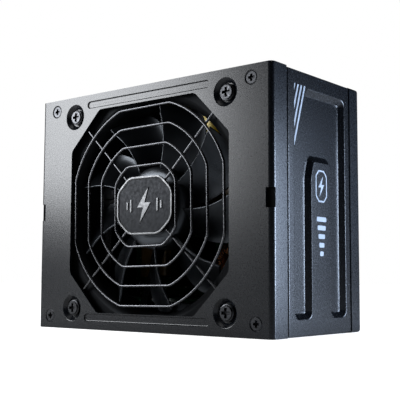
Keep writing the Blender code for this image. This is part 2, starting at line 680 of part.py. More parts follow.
def fan_motor():
    bearing_front, bearing_back = HUB_FRONT + 2.6, FAN_BACK - GAP
    length = bearing_back - bearing_front
    bearing = rounds("fan_bearing", [((0, bearing_front + length / 2, FAN_Z), length, 4.0, "Y")],
                     "brass", 20)
    cut(bearing, rounds("bearing_bore", [((0, bearing_front + length / 2 - 1.0, FAN_Z),
                                          length, 1.8, "Y")], sides=16))
    core_front, core_back = HUB_FRONT + 3.2, FAN_BACK - 2.6 - GAP
    core_length = core_back - core_front
    middle = core_front + core_length / 2
    stator = rounds("fan_stator", [((0, middle, FAN_Z), core_length, 12.6, "Y")], "copper", 24)
    cut(stator, rounds("stator_bore", [((0, middle, FAN_Z), core_length + 2, 4.3, "Y")], sides=20))
    slots = []
    for x, z in ((1, 0), (-1, 0), (0, 1), (0, -1)):
        centre_x, centre_z = 10.5 * x, FAN_Z + 10.5 * z
        slots.append(((centre_x - 1.5 - 2 * abs(x), core_front - 1, centre_z - 1.5 - 2 * abs(z)),
                      (centre_x + 1.5 + 2 * abs(x), core_back + 1, centre_z + 1.5 + 2 * abs(z))))
    cut(stator, boxes("stator_slots", slots))


# ---------------------------------------------------------------- mains end

def mains_inlet():
    """A C14-style inlet: bezel, deep body with a six-sided cavity, and three blades."""
    body = prism("inlet_body", rounded_rectangle(INLET_X, MAINS_Y, 15.5, 12.2, 2.0, 3),
                 BEZEL_BOTTOM, BEZEL_TOP, "Z", "black_plastic")
    core = mains_core("inlet_core", INLET_X, INLET_CORE_HALF, INLET_DEPTH)
    join(body, core)
    half_x, half_y, corner = 12.2, 8.6, 4.6
    cavity = prism("inlet_cavity", [
        (INLET_X - half_x, MAINS_Y - half_y), (INLET_X + half_x, MAINS_Y - half_y),
        (INLET_X + half_x, MAINS_Y + half_y - corner),
        (INLET_X + half_x - corner, MAINS_Y + half_y),
        (INLET_X - half_x + corner, MAINS_Y + half_y),
        (INLET_X - half_x, MAINS_Y + half_y - corner)], BEZEL_TOP - 18, BEZEL_TOP + 2, "Z")
    blade_slots = boxes("inlet_blade_slots", [
        ((x - 1.3, y - 2.3, HEIGHT - 24), (x + 1.3, y + 2.3, HEIGHT - 10))
        for x, y in inlet_blade_places()])
    cut(body, cavity, blade_slots)
    for name, (x, y) in zip(("live", "earth", "neutral"), inlet_blade_places()):
        boxes(f"inlet_blade_{name}", [((x - 1.0, y - 2.0, HEIGHT - BLADE_DEPTH),
                                       (x + 1.0, y + 2.0, BEZEL_TOP - 5.2))], "brass", 0.4)


def mains_core(name, x, half, depth):
    """The body of a mains fitting behind its bezel."""
    return boxes(name, [((x - half[0], MAINS_Y - half[1], HEIGHT - depth),
                         (x + half[0], MAINS_Y + half[1], BEZEL_BOTTOM + 0.5))])


def inlet_blade_places():
    return [(INLET_X - 7.0, MAINS_Y - 2.0), (INLET_X, MAINS_Y + 2.0),
            (INLET_X + 7.0, MAINS_Y - 2.0)]


def mains_switch():
    housing = prism("switch_housing", rounded_rectangle(SWITCH_X, MAINS_Y, 8.0, 11.2, 1.5, 3),
                    BEZEL_BOTTOM, BEZEL_TOP, "Z", "black_plastic")
    core = mains_core("switch_core", SWITCH_X, SWITCH_CORE_HALF, SWITCH_DEPTH)
    well_x, well_y = SWITCH_CORE_HALF[0] - SHEET, SWITCH_CORE_HALF[1] - SHEET
    well = boxes("switch_well", [((SWITCH_X - well_x, MAINS_Y - well_y, HEIGHT - 9),
                                  (SWITCH_X + well_x, MAINS_Y + well_y, BEZEL_TOP + 2))])
    join(housing, core)
    cut(housing, well)
    pivot_seat = rounds("switch_pivot_seat", [((SWITCH_X, MAINS_Y, ROCKER_AXIS_Z), 12.4, 1.0, "X")],
                        sides=12)
    cut(housing, pivot_seat)
    rocker()


def rocker():
    """The rocker is drawn level about its pivot and then tipped to its off side."""
    reach, crown, dip, belly = 7.7, 4.6, 3.0, 4.2
    profile = [(-reach, crown), (-reach, 0.5)] + arc((0, -belly + 3.0), 3.0, 200, 340, 6)
    profile += [(reach, 0.5), (reach, crown), (0, dip)]
    body = prism("switch_rocker", list(reversed(profile)), -5.3, 5.3, "X", "black_plastic")
    pivots = rounds("rocker_pivots", [((0, 0, 0), 11.8, 0.7, "X")], sides=12)
    join(body, pivots)
    tipped = (Matrix.Translation(Vector((SWITCH_X, MAINS_Y, ROCKER_AXIS_Z)) * MM)
              @ Matrix.Rotation(math.radians(-ROCKER_TILT_DEG), 4, "X"))
    for obj in (body, pivots):
        obj.matrix_world = tipped @ obj.matrix_world


def mains_harness():
    """The sheathed lead from the back of the inlet to the main board."""
    x, y = inlet_blade_places()[2]
    start, end = Vector((x, y, HEIGHT - BLADE_DEPTH - GAP)), Vector((-22, PART_FOOT, 71.5))
    path = [tuple(bezier(start, start + Vector((0, 0, -7)), end + Vector((0, -11, 0)), end, i / 9))
            for i in range(10)]
    tube("mains_harness", [path], 1.7, "wire_sheath", resolution=1)


def bezier(a, b, c, d, t):
    s = 1 - t
    return a * s ** 3 + b * 3 * s * s * t + c * 3 * s * t * t + d * t ** 3


# ---------------------------------------------------------------- boards and what is on them

def board_screw_places():
    return [(sx * BOSS_X, z) for sx in (-1, 1) for z in (BOSS_LOW_Z, BOSS_HIGH_Z)]


def standoffs():
    """Bosses pressed up from the back plate, each with its thread, for the tray to take in."""
    foot, top = BACK - SHEET + 0.3, BOARD_FRONT + BOARD_THICKNESS + GAP
    bosses = rounds("board_bosses", [((x, (foot + top) / 2, z), foot - top, 2.9, "Y")
                                     for x, z in board_screw_places()], sides=12)
    threads = rounds("board_threads", [((x, top, z), 5, 1.9, "Y")
                                       for x, z in board_screw_places()], sides=12)
    return bosses, threads


def main_board():
    sheet = boxes("insulator_sheet", [((-59, BACK - SHEET - 0.8, 13),
                                       (59, BACK - SHEET - GAP, 96.5))], "clear_film")
    cut(sheet, rounds("sheet_holes", [((x, BACK - 2, z), 8, 3.4, "Y")
                                      for x, z in board_screw_places()], sides=12))
    board = boxes("main_board", [((-58, BOARD_FRONT, BOARD_LOW_Z),
                                  (58, BOARD_FRONT + BOARD_THICKNESS, BOARD_HIGH_Z))],
                  "board_green")
    cut(board, rounds("board_holes", [((x, BOARD_FRONT, z), 8, 1.9, "Y")
                                      for x, z in board_screw_places()], sides=12))
    head_height = 1.8
    for index, (x, z) in enumerate(board_screw_places(), 1):
        screw(f"board_screw_{index}", x, z, head_height, 2.9, 1.4, 4.6,
              BOARD_FRONT - GAP - head_height, False)


def capacitor_can(name, x, z, radius, length, sides=20):
    """An electrolytic can that stands on the board, with a rolled shoulder at its top."""
    can = rounds(name, [((x, PART_FOOT - length / 2, z), length, radius, "Y")],
                 "capacitor_sleeve", sides)
    soften(can, 0.7)


def wound_ring(name, centre, ring_radius, wire_radius, axis):
    """A wound ring core, as one fat ring about the given axis."""
    steps = 16
    path = []
    for i in range(steps):
        angle = 2 * math.pi * i / steps
        u, v = ring_radius * math.cos(angle), ring_radius * math.sin(angle)
        offset = {"X": (0, u, v), "Y": (u, 0, v)}[axis]
        path.append(tuple(Vector(centre) + Vector(offset)))
    tube(name, [path], wire_radius, "copper", closed=True)


def primary_side():
    rounds("mains_fuse", [((-14, 21.6, 80), 16, 3.0, "X")], "clear_film", 14)
    boxes("filter_capacitor_1", [((3, -9, 79), (20, PART_FOOT, 92))], "yellow_film", 0.8)
    boxes("filter_capacitor_2", [((25, 6, 79), (34, PART_FOOT, 94))], "yellow_film", 0.8)
    wound_ring("line_choke", (44.5, 15.5, 84.5), 6.3, 3.2, "X")
    heat_sink("rectifier_heatsink", 47.5, 50, 74, -4)
    boxes("bridge_rectifier", [((47.5 + GAP, 4, 53), (51.5, 22, 71))], "black_plastic", 0.4)
    boxes("boost_choke", [((-31, -2, 44), (-11, PART_FOOT, 66))], "yellow_film", 1.0)
    capacitor_can("bulk_capacitor", -45.5, 57, 11.0, 35.0)
    heat_sink("primary_heatsink", -2.5, 44, 70, -8)
    core = boxes("transformer_core", [((5, -8, 47), (33, PART_FOOT, 71))], "ferrite", 0.8)
    cut(core, boxes("transformer_window", [((9, -20, 50), (29, 40, 68))]))
    boxes("transformer_winding", [((9.3, -7.4, 50.3), (28.7, PART_FOOT, 67.7))], "yellow_film",
          2.0)


def secondary_side():
    boxes("standby_transformer", [((-40, 9, 22), (-24, PART_FOOT, 38))], "yellow_film", 1.0)
    heat_sink("output_heatsink", -8.0, 18, 40, 0)
    wound_ring("output_choke", (4.5, 19.5, 29), 5.0, 3.2, "Y")
    for index, x in enumerate((22, 34), 1):
        capacitor_can(f"output_capacitor_{index}", x, 27, 4.2, 17.0, 14)


def heat_sink(name, x, low_z, high_z, top_y):
    """A flat aluminium wall on the board, with fins along one side near its top."""
    wall, fin_reach = 2.0, 5.0
    outline = [(x, PART_FOOT), (x, top_y)]
    y = top_y
    for _ in range(4):
        outline += [(x - fin_reach, y), (x - fin_reach, y + 1.2), (x - wall, y + 1.2),
                    (x - wall, y + 3.6)]
        y += 3.6
    outline += [(x - wall, PART_FOOT)]
    outline = [point for i, point in enumerate(outline) if i == 0 or point != outline[i - 1]]
    prism(name, outline, low_z, high_z, "Z", "aluminium")


def output_end():
    """The socket board, and the sockets that stand through the socket panel."""
    boxes("socket_board", [((-58, -10, SOCKET_BOARD_Z), (58, 24.5, SOCKET_BOARD_Z + 1.6))],
          "board_green")
    mouth_z, cavity_depth = 0.4, 8.2
    for name, x, y, columns in socket_places():
        half_x, half_y = socket_half_size(columns)
        socket = boxes(name, [((x - half_x, y - half_y, mouth_z),
                               (x + half_x, y + half_y, SOCKET_BOARD_Z - GAP))], "black_plastic")
        inner_x, inner_y = half_x - SOCKET_WALL, half_y - SOCKET_WALL
        cut(socket, boxes(name + "_cavity", [((x - inner_x, y - inner_y, mouth_z - 2),
                                              (x + inner_x, y + inner_y,
                                               mouth_z + cavity_depth))]))


def fan_lead():
    """The fan's lead runs from the motor base along a strut, round the frame and to its plug."""
    start = Vector((6.0, FAN_BACK + 1.6, FAN_Z - 13.0))
    corner = Vector((44.0, FAN_BACK + 3.0, 8.0 + 7.5))
    plug_top = Vector((45.5, 15.4, 45.0))
    first = [bezier(start, start + Vector((6, 0, -14)), corner + Vector((-16, 0, -2)), corner, i / 9)
             for i in range(10)]
    second = [bezier(corner, corner + Vector((5, 1, 2)), plug_top + Vector((0, -16, 0)),
                     plug_top, i / 9) for i in range(1, 10)]
    tube("fan_lead", [[tuple(p) for p in first + second]], 1.1, "wire_sheath", resolution=1)
    boxes("fan_plug", [((42.5, 15.4 + GAP, 43.4), (48.5, PART_FOOT, 46.6))], "black_plastic", 0.3)


def build():
    start_scene()
    fan_cover()
    rear_tray()
    rating_label()
    side_plate("side_plate_right", 1)
    side_plate("side_plate_left", -1)
    case_screws()
    fan_grille()
    fan_frame()
    fan_rotor()
    fan_motor()
    mains_inlet()
    mains_switch()
    mains_harness()
    main_board()
    primary_side()
    secondary_side()
    output_end()
    fan_lead()


build()
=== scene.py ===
"""The finish of a compact computer power supply: black powder-coated sheet, a wire fan guard with a
small badge, a glossy black fan, and the mains and output ends, around the fixed frame of its parts.

Sizes and places are in millimetres, and the makers turn them into metres with MM.
"""
import math
from contextlib import contextmanager

import bpy
from mathutils import Matrix, Vector


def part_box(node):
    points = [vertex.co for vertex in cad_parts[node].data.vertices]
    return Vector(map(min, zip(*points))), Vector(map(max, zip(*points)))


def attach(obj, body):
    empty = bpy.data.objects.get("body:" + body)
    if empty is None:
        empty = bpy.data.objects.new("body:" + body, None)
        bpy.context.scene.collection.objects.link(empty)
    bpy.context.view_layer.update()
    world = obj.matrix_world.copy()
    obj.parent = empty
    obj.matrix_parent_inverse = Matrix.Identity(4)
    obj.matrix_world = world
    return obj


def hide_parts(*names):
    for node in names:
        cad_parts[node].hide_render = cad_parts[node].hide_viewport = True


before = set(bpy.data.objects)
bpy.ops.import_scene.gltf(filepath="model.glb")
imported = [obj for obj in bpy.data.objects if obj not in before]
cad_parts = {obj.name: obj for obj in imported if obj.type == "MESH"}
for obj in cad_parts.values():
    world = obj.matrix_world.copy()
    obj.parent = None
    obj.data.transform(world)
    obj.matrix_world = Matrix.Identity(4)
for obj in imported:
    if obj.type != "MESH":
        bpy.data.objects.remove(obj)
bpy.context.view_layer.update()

MM = 0.001
# The sheet's thickness, its folds' radii, the play between neighbours, and the side plates' press.
SHEET = 1.0
BEND = 1.2
COVER_BEND = 1.9
GAP = 0.3
PRESS_RUN, PRESS_DEPTH = 2.06, 1.9


def corners(node):
    """The lowest and highest corner of a node of the frame, in millimetres."""
    low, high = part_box(node)
    return Vector(low) / MM, Vector(high) / MM


def middle(node):
    """The middle of a node's box."""
    low, high = corners(node)
    return (low + high) / 2


cover_low, cover_high = corners("fan_cover")
tray_low, tray_high = corners("rear_tray")
SIDE, FRONT, BACK, HEIGHT = cover_high.x, cover_low.y, tray_high.y, cover_high.z
STRIP_END = cover_high.y
BACK_STRIP = 24.3
FAN_Z = middle("fan_impeller").z
FAN_PITCH = middle("fan_screw_4").x
FAN_FRONT, FAN_BACK = corners("fan_frame")[0].y, corners("fan_frame")[1].y
HUB_RADIUS = 17.0
BLADE_COUNT = 9
FIRST_BLADE_DEG = 36.0
DUCT_RADIUS, TIP_RADIUS = 43.2, 42.3
GRILLE_X, GRILLE_Z = 0.2, middle("fan_grille").z
GRILLE_LEAN_DEG = 0.9
# Each ring of the guard: its flats' distance from the middle, and half their length.
GRILLE_RINGS = ((16.35, 9.2), (24.4, 11.7), (32.2, 13.2), (40.25, 13.6))
SPOKE_DEGREES = (44.7, 135.3, 223.5, 317.3)


# -------- tools of the bench

def pick(obj):
    bpy.ops.object.select_all(action="DESELECT")
    obj.select_set(True)
    bpy.context.view_layer.objects.active = obj


@contextmanager
def editing(obj, kind="VERT", everything=False):
    """Edit mode on one object, with what was flagged selected, or everything."""
    pick(obj)
    bpy.context.tool_settings.mesh_select_mode = tuple(kind == k for k in ("VERT", "EDGE", "FACE"))
    bpy.ops.object.mode_set(mode="EDIT")
    if everything:
        bpy.ops.mesh.select_all(action="SELECT")
    yield
    bpy.ops.object.mode_set(mode="OBJECT")


def flag(obj, faces=None, edges=None):
    """Flags faces by (centre, normal), or edges by their two ends, all in millimetres."""
    mesh = obj.data
    for group in (mesh.vertices, mesh.edges, mesh.polygons):
        group.foreach_set("select", [False] * len(group))
    if faces:
        for face in mesh.polygons:
            face.select = bool(faces(face.center / MM, face.normal))
        return
    for edge in mesh.edges:
        ends = [mesh.vertices[i] for i in edge.vertices]
        if edges(ends[0].co / MM, ends[1].co / MM):
            edge.select = True
            for end in ends:
                end.select = True


def post(name, u, v, half_u, half_v, start, end, axis="Z"):
    """A box along the axis, about the point (u, v) across it."""
    return box(name, on_axis(axis, u - half_u, v - half_v, start),
               on_axis(axis, u + half_u, v + half_v, end))


def settle(name):
    """Names the new primitive and moves its place into its mesh."""
    obj = bpy.context.object
    obj.name = name
    bpy.ops.object.transform_apply(location=True, rotation=True, scale=True)
    return obj


def box(name, low, high):
    low, high = Vector(low) * MM, Vector(high) * MM
    bpy.ops.mesh.primitive_cube_add(size=1, location=(low + high) / 2, scale=high - low)
    return settle(name)


TURNS = {"X": (0, math.pi / 2, 0), "Y": (-math.pi / 2, 0, 0), "Z": (0, 0, 0)}


def rod(name, centre, length, radius, axis="Y", sides=32, end_radius=None):
    """A cylinder, or a cone with end_radius at its far end, centred at centre."""
    far = radius if end_radius is None else end_radius
    bpy.ops.mesh.primitive_cone_add(
        vertices=sides, radius1=radius * MM, radius2=far * MM, depth=length * MM,
        location=Vector(centre) * MM, rotation=TURNS[axis])
    return settle(name)


def link(name, data):
    """A new object of the scene that holds the data."""
    obj = bpy.data.objects.new(name, data)
    bpy.context.scene.collection.objects.link(obj)
    return obj


def from_points(name, points, edges=(), faces=()):
    mesh = bpy.data.meshes.new(name)
    mesh.from_pydata([Vector(p) * MM for p in points], list(edges), list(faces))
    return link(name, mesh)


def clean_skin(merge=True):
    """In edit mode, joins doubled points and turns every face outwards."""
    bpy.ops.mesh.select_all(action="SELECT")
    if merge:
        bpy.ops.mesh.remove_doubles(threshold=0.002 * MM)
    bpy.ops.mesh.normals_make_consistent(inside=False)


def on_axis(axis, u, v, w):
    return {"X": (w, u, v), "Y": (u, w, v), "Z": (u, v, w)}[axis]


def prism(name, outline, start, end, axis="Y"):
    """A flat outline, (x, y) for Z, (x, z) for Y or (y, z) for X, extruded along the axis."""
    obj = from_points(name, [on_axis(axis, u, v, start) for u, v in outline],
                      faces=[range(len(outline))])
    with editing(obj, "FACE", True):
        bpy.ops.mesh.extrude_region_move(
            TRANSFORM_OT_translate={"value": Vector(on_axis(axis, 0, 0, end - start)) * MM})
        clean_skin(merge=False)
    return obj


def turned(name, profile, centre, axis="Y", steps=48):
    """A profile of (radius, height along the axis) spun all the way round."""
    centre = Vector(centre)
    points = [centre + Vector(on_axis(axis, r, 0, h)) for r, h in profile]
    obj = from_points(name, points, edges=[(i, i + 1) for i in range(len(points) - 1)])
    with editing(obj, everything=True):
        bpy.ops.mesh.spin(steps=steps, angle=2 * math.pi, center=centre * MM,
                          axis=on_axis(axis, 0, 0, 1))
        clean_skin()
    return obj


def wires(name, paths, radius, closed=False, resolution=4):
    """Round wires along smooth paths, as one mesh."""
    curve = bpy.data.curves.new(name, "CURVE")
    curve.dimensions = "3D"
    curve.bevel_depth = radius * MM
    curve.bevel_resolution = resolution
    curve.use_fill_caps = not closed
    for path in paths:
        spline = curve.splines.new("POLY")
        spline.points.add(len(path) - 1)
        for point, place in zip(spline.points, path):
            point.co = (*(Vector(place) * MM), 1)
        spline.use_cyclic_u = closed
    pick(link(name, curve))
    bpy.ops.object.convert(target="MESH")
    obj = bpy.context.object
    with editing(obj):
        clean_skin()
    return obj


def apply(obj, kind, **settings):
    modifier = obj.modifiers.new(kind.lower(), kind)
    for key, value in settings.items():
        setattr(modifier, key, value)
    pick(obj)
    bpy.ops.object.modifier_apply(modifier=modifier.name)
    return obj


def cut(obj, *cutters):
    for cutter in cutters:
        apply(obj, "BOOLEAN", operation="DIFFERENCE", object=cutter, solver="EXACT")
        bpy.data.objects.remove(cutter)
    return obj


def weld(obj, *others):
    for other in others:
        apply(obj, "BOOLEAN", operation="UNION", object=other, solver="EXACT")
        bpy.data.objects.remove(other)
    return obj


def gather(name, parts):
    """Puts several finished shapes in one object, side by side."""
    pick(parts[0])
    for part in parts[1:]:
        part.select_set(True)
    if len(parts) > 1:
        bpy.ops.object.join()
    parts[0].name = name
    return parts[0]


def round_edges(obj, test, width, segments=4):
    """Rounds the edges that the test picks."""
    flag(obj, edges=test)
    with editing(obj, "EDGE"):
        bpy.ops.mesh.bevel(offset=width * MM, segments=segments, affect="EDGES")
    return obj


def soften(obj, width, segments=2, angle=35):
    """Takes the sharpness off every edge."""
    return apply(obj, "BEVEL", width=width * MM, segments=segments, limit_method="ANGLE",
                 angle_limit=math.radians(angle), miter_outer="MITER_ARC")


def smooth(obj, angle=32, weighted=True):
    pick(obj)
    bpy.ops.object.shade_smooth_by_angle(angle=math.radians(angle))
    if weighted:
        apply(obj, "WEIGHTED_NORMAL", keep_sharp=True, weight=80)
    return obj


def install(obj, slot, finish, *nodes, body="case"):
    """Gives a finished piece its material, its body and the nodes that it stands for."""
    obj.data.materials.clear()
    obj.data.materials.append(finish)
    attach(obj, body)
    if nodes:
        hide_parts(*nodes)
    return obj


def arc(u, v, radius, start_deg, end_deg, steps):
    angles = [math.radians(start_deg + (end_deg - start_deg) * i / steps) for i in range(steps + 1)]
    return [(u + radius * math.cos(a), v + radius * math.sin(a)) for a in angles]


def rounded_rectangle(u, v, half_u, half_v, radius, steps=6):
    outline = []
    for sign_u, sign_v, start in ((1, 1, 0), (-1, 1, 90), (-1, -1, 180), (1, -1, 270)):
        outline += arc(u + sign_u * (half_u - radius), v + sign_v * (half_v - radius),
                       radius, start, start + 90, steps)
    return outline


def octagon(u, v, half_u, half_v, flat_u, flat_v):
    return [(u + half_u, v + flat_v), (u + flat_u, v + half_v), (u - flat_u, v + half_v),
            (u - half_u, v + flat_v), (u - half_u, v - flat_v), (u - flat_u, v - half_v),
            (u + flat_u, v - half_v), (u + half_u, v - flat_v)]


def fan_corners():
    return [(sx * FAN_PITCH, FAN_Z + sz * FAN_PITCH) for sx in (-1, 1) for sz in (-1, 1)]


def bolt_outline(u, v, size):
    """A lightning bolt, the general sign for electricity."""
    shape = ((0.16, 0.5), (-0.26, -0.06), (-0.03, -0.06), (-0.16, -0.5), (0.26, 0.08), (0.03, 0.08))
    return [(u + a * size, v + b * size) for a, b in shape]


# -------- finishes

class Finish:
    """A material and the nodes that feed its shader."""

    def __init__(self, name, **constants):
        self.material = bpy.data.materials.new(name)
        self.material.use_nodes = True
        self.tree = self.material.node_tree
        self.shader = self.tree.nodes["Principled BSDF"]
        for socket, value in constants.items():
            self.shader.inputs[socket.replace("_", " ")].default_value = value
        self.place = self.node("ShaderNodeTexCoord").outputs["Object"]

    def node(self, kind, inputs=None, **settings):
        made = self.tree.nodes.new(kind)
        for key, value in settings.items():
            setattr(made, key, value)
        for key, value in (inputs or {}).items():
            if isinstance(value, bpy.types.NodeSocket):
                self.tree.links.new(value, made.inputs[key])
            else:
                made.inputs[key].default_value = value
        return made

    def noise(self, scale, detail=2.0, stretch=None, roughness=0.5):
        place = self.place
        if stretch:
            place = self.node("ShaderNodeMapping", {"Vector": place, "Scale": stretch}).outputs[0]
        return self.node("ShaderNodeTexNoise", {
            "Vector": place, "Scale": scale, "Detail": detail, "Roughness": roughness}).outputs["Fac"]

    def ramp(self, factor, low, high, start, end):
        """Turns a factor between low and high into a value from start to end."""
        return self.node("ShaderNodeMapRange", {
            "Value": factor, "From Min": low, "From Max": high, "To Min": start, "To Max": end}).outputs[0]

    def blend(self, factor, first, second):
        mix = self.node("ShaderNodeMix", {"Factor": factor}, data_type="RGBA")
        for socket, value in ((mix.inputs[6], first), (mix.inputs[7], second)):
            if isinstance(value, bpy.types.NodeSocket):
                self.tree.links.new(value, socket)
            else:
                socket.default_value = (*value, 1.0)
        return mix.outputs[2]

    def feed(self, socket, value):
        self.tree.links.new(value, self.shader.inputs[socket])

    def colour(self, factor, first, second):
        self.feed("Base Color", self.blend(factor, first, second))

    def gloss(self, factor, smoothest, roughest):
        """Roughness that follows the middle range of a noise."""
        self.feed("Roughness", self.ramp(factor, 0.3, 0.7, smoothest, roughest))

    def bump(self, height, strength, distance_mm):
        made = self.node("ShaderNodeBump", {
            "Height": height, "Strength": strength, "Distance": distance_mm * MM})
        self.feed("Normal", made.outputs[0])


def powder_coat(name, dark, light, roughness):
    """Matte black powder coat: a fine, even pebbled skin."""
    finish = Finish(name, Metallic=0.0, Specular_IOR_Level=0.3)
    grain = finish.noise(1700, 3.0, roughness=0.6)
    cloud = finish.noise(55)
    specks = finish.ramp(finish.noise(2300, 1.0), 0.55, 0.75, 0.0, 1.0)
    base = finish.blend(cloud, dark, light)
    pale = tuple(c * 2.0 + 0.002 for c in light)
    finish.colour(specks, base, pale)
    finish.gloss(grain, roughness - 0.04, roughness + 0.05)
    finish.bump(grain, 0.28, 0.035)
    return finish.material


def plated(name, colour, roughness, streak=(1, 1, 1)):
    """Plated or ground metal, with faint streaks and tarnish."""
    finish = Finish(name, Metallic=1.0)
    streaks = finish.noise(700, 3.0, streak)
    tarnish = finish.noise(130)
    deeper = tuple(c * 0.72 for c in colour)
    finish.colour(tarnish, deeper, colour)
    finish.gloss(streaks, roughness * 0.75, roughness * 1.3)
    finish.bump(streaks, 0.12, 0.02)
    return finish.material


def moulded(name, colour, roughness, grain_mm=0.03, grain_scale=1100, coat=0.0, specular=0.5):
    """Moulded plastic or rubber, with a fine skin and soft variation in its gloss."""
    finish = Finish(name, Metallic=0.0, Coat_Weight=coat, Coat_Roughness=0.12,
                    Specular_IOR_Level=specular, Specular_Tint=(0.82, 0.9, 1.0, 1.0))
    skin = finish.noise(grain_scale)
    cloud = finish.noise(45)
    lighter = tuple(min(1.0, c * 1.5 + 0.001) for c in colour)
    finish.colour(cloud, colour, lighter)
    finish.gloss(cloud, roughness * 0.85, roughness * 1.2)
    finish.bump(skin, 0.3, grain_mm)
    return finish.material


def circuit_board(name):
    """Green solder mask over copper tracks, with tinned pads."""
    finish = Finish(name, Metallic=0.0)
    flat = finish.node("ShaderNodeMapping", {"Vector": finish.place, "Scale": (1, 0.02, 1)})
    tracks = finish.node("ShaderNodeTexBrick", {
        "Vector": flat.outputs[0], "Scale": 90.0, "Color1": (1, 1, 1, 1), "Color2": (0.6, 0.6, 0.6, 1),
        "Mortar": (0, 0, 0, 1), "Mortar Size": 0.03}).outputs["Color"]
    shade_blocks = finish.node("ShaderNodeTexVoronoi", {"Vector": finish.place, "Scale": 330.0})
    dots = finish.ramp(shade_blocks.outputs["Distance"], 0.22, 0.26, 1.0, 0.0)
    mask = finish.blend(tracks, (0.012, 0.06, 0.028), (0.02, 0.11, 0.045))
    finish.colour(dots, mask, (0.5, 0.5, 0.46))
    finish.feed("Roughness", finish.ramp(dots, 0.0, 1.0, 0.38, 0.25))
    finish.bump(tracks, 0.3, 0.04)
    return finish.material


def wound_copper(name):
    """Enamelled copper: warm metal with a slightly uneven varnish."""
    finish = Finish(name, Metallic=0.9, Coat_Weight=0.5, Coat_Roughness=0.15)
    varnish = finish.noise(260, 3.0)
    finish.colour(varnish, (0.42, 0.14, 0.05), (0.75, 0.33, 0.14))
    finish.gloss(varnish, 0.22, 0.4)
    finish.bump(varnish, 0.2, 0.03)
    return finish.material


def wrapped_tape(name, colour):
    """Polyester tape in level turns, with a faint line at each overlap."""
    finish = Finish(name, Metallic=0.0, Coat_Weight=0.35, Coat_Roughness=0.2)
    turns = finish.node("ShaderNodeTexWave", {
        "Vector": finish.place, "Scale": 95.0, "Distortion": 0.6, "Detail": 1.0},
        bands_direction="Y").outputs["Fac"]
    cloud = finish.noise(60)
    deeper = tuple(c * 0.7 for c in colour)
    finish.colour(finish.ramp(turns, 0.0, 0.25, 0.0, 1.0), deeper, colour)
    finish.gloss(cloud, 0.3, 0.45)
    finish.bump(turns, 0.25, 0.08)
    return finish.material


def clear_glass(name):
    finish = Finish(name, Transmission_Weight=1.0, IOR=1.47)
    haze = finish.noise(300)
    finish.colour(haze, (0.86, 0.9, 0.88), (0.96, 0.98, 0.97))
    finish.gloss(haze, 0.03, 0.08)
    return finish.material


case_paint = powder_coat("case_powder_coat", (0.0014, 0.0021, 0.0034), (0.0024, 0.0032, 0.005), 0.28)
side_paint = powder_coat("side_powder_coat", (0.0014, 0.0018, 0.0028), (0.0022, 0.0028, 0.004), 0.26)
nickel_wire = plated("black_nickel_wire", (0.065, 0.066, 0.07), 0.26)
badge_field = plated("gunmetal_badge", (0.010, 0.0105, 0.0115), 0.42)
badge_bright = plated("satin_silver", (0.085, 0.086, 0.088), 0.36)
dark_steel = plated("black_zinc_steel", (0.045, 0.046, 0.049), 0.34)
bright_steel = plated("ground_steel", (0.6, 0.6, 0.62), 0.25, (1, 12, 1))
brass_finish = plated("bare_brass", (0.78, 0.58, 0.26), 0.28)
aluminium = plated("extruded_aluminium", (0.62, 0.63, 0.65), 0.38, (1, 20, 1))
anodised = plated("anodised_aluminium", (0.012, 0.012, 0.013), 0.45, (1, 20, 1))
# A near-black, almost unreflecting finish for the blocks behind the fan face's notches: painted shade.
notch_shade_black = moulded("painted_notch_shade", (0.001, 0.001, 0.001), 0.8, specular=0.03)
# The hub and the blades are one black plastic. The hub's lighter, more reflective copy paints a sheen, and
# the blades' darker, less reflective copy paints shade.
blade_shaded_black = moulded("blade_black_painted_shade", (0.001, 0.0012, 0.0016), 0.3, 0.006, 700, specular=0.42)
hub_sheen_black = moulded("hub_black_painted_sheen", (0.002, 0.0022, 0.0028), 0.4, 0.01, 700, specular=0.6)
frame_black = moulded("satin_fan_black", (0.0015, 0.0016, 0.0018), 0.5, specular=0.04)
socket_black = moulded("satin_nylon_black", (0.010, 0.010, 0.011), 0.42)
rocker_black = moulded("rocker_black", (0.012, 0.012, 0.013), 0.3, 0.015)
mark_white = moulded("printed_white", (0.62, 0.63, 0.64), 0.5)
print_grey = moulded("printed_grey", (0.27, 0.30, 0.34), 0.5, 0.02, 1500)
label_black = moulded("label_film", (0.028, 0.028, 0.03), 0.36, 0.01)
sleeve_black = moulded("shrunk_sleeve", (0.012, 0.012, 0.02), 0.3, 0.01, 500, coat=0.3)
sheath_black = moulded("lead_sheath", (0.012, 0.012, 0.012), 0.5)
yellow_case = moulded("yellow_capacitor_case", (0.75, 0.5, 0.02), 0.38, 0.02, 900, coat=0.2)
smoked_film = moulded("smoked_film", (0.05, 0.05, 0.05), 0.3, 0.01)
ferrite_grey = moulded("sintered_ferrite", (0.035, 0.035, 0.038), 0.55, 0.05, 1800)
# Yellow insulating tape, its colour darkened to a deep amber: painted shade of the case's dark inside.
shaded_yellow_tape = wrapped_tape("yellow_tape_painted_shade", (0.10, 0.055, 0.012))
copper_wire = wound_copper("enamelled_copper")
green_board = circuit_board("green_board")
fuse_glass = clear_glass("fuse_tube")


# -------- case

def dimple(name, x, z):
    """The cutter of a round dimple: a soft lip, a sloped wall and a flat floor."""
    profile = [(0, -1.5), (8.6, -1.5), (8.6, -0.62), (5.6, 0.01), (5.4, 0.1), (5.15, 0.32),
               (3.95, 1.72), (3.75, 1.93), (3.4, 2.0), (0, 2.0)]
    return turned(name, profile, (x, FRONT, z))


def notch(side):
    """The cutter of the notch in a side edge of the fan face. A dull black block behind it is painted
    shade that hides the lit inside of the case.
    """
    return box("notch", (side * SIDE - 3, FRONT - 2, FAN_Z - 3.25),
               (side * SIDE + 3, FRONT + 1.9, FAN_Z + 4.05))


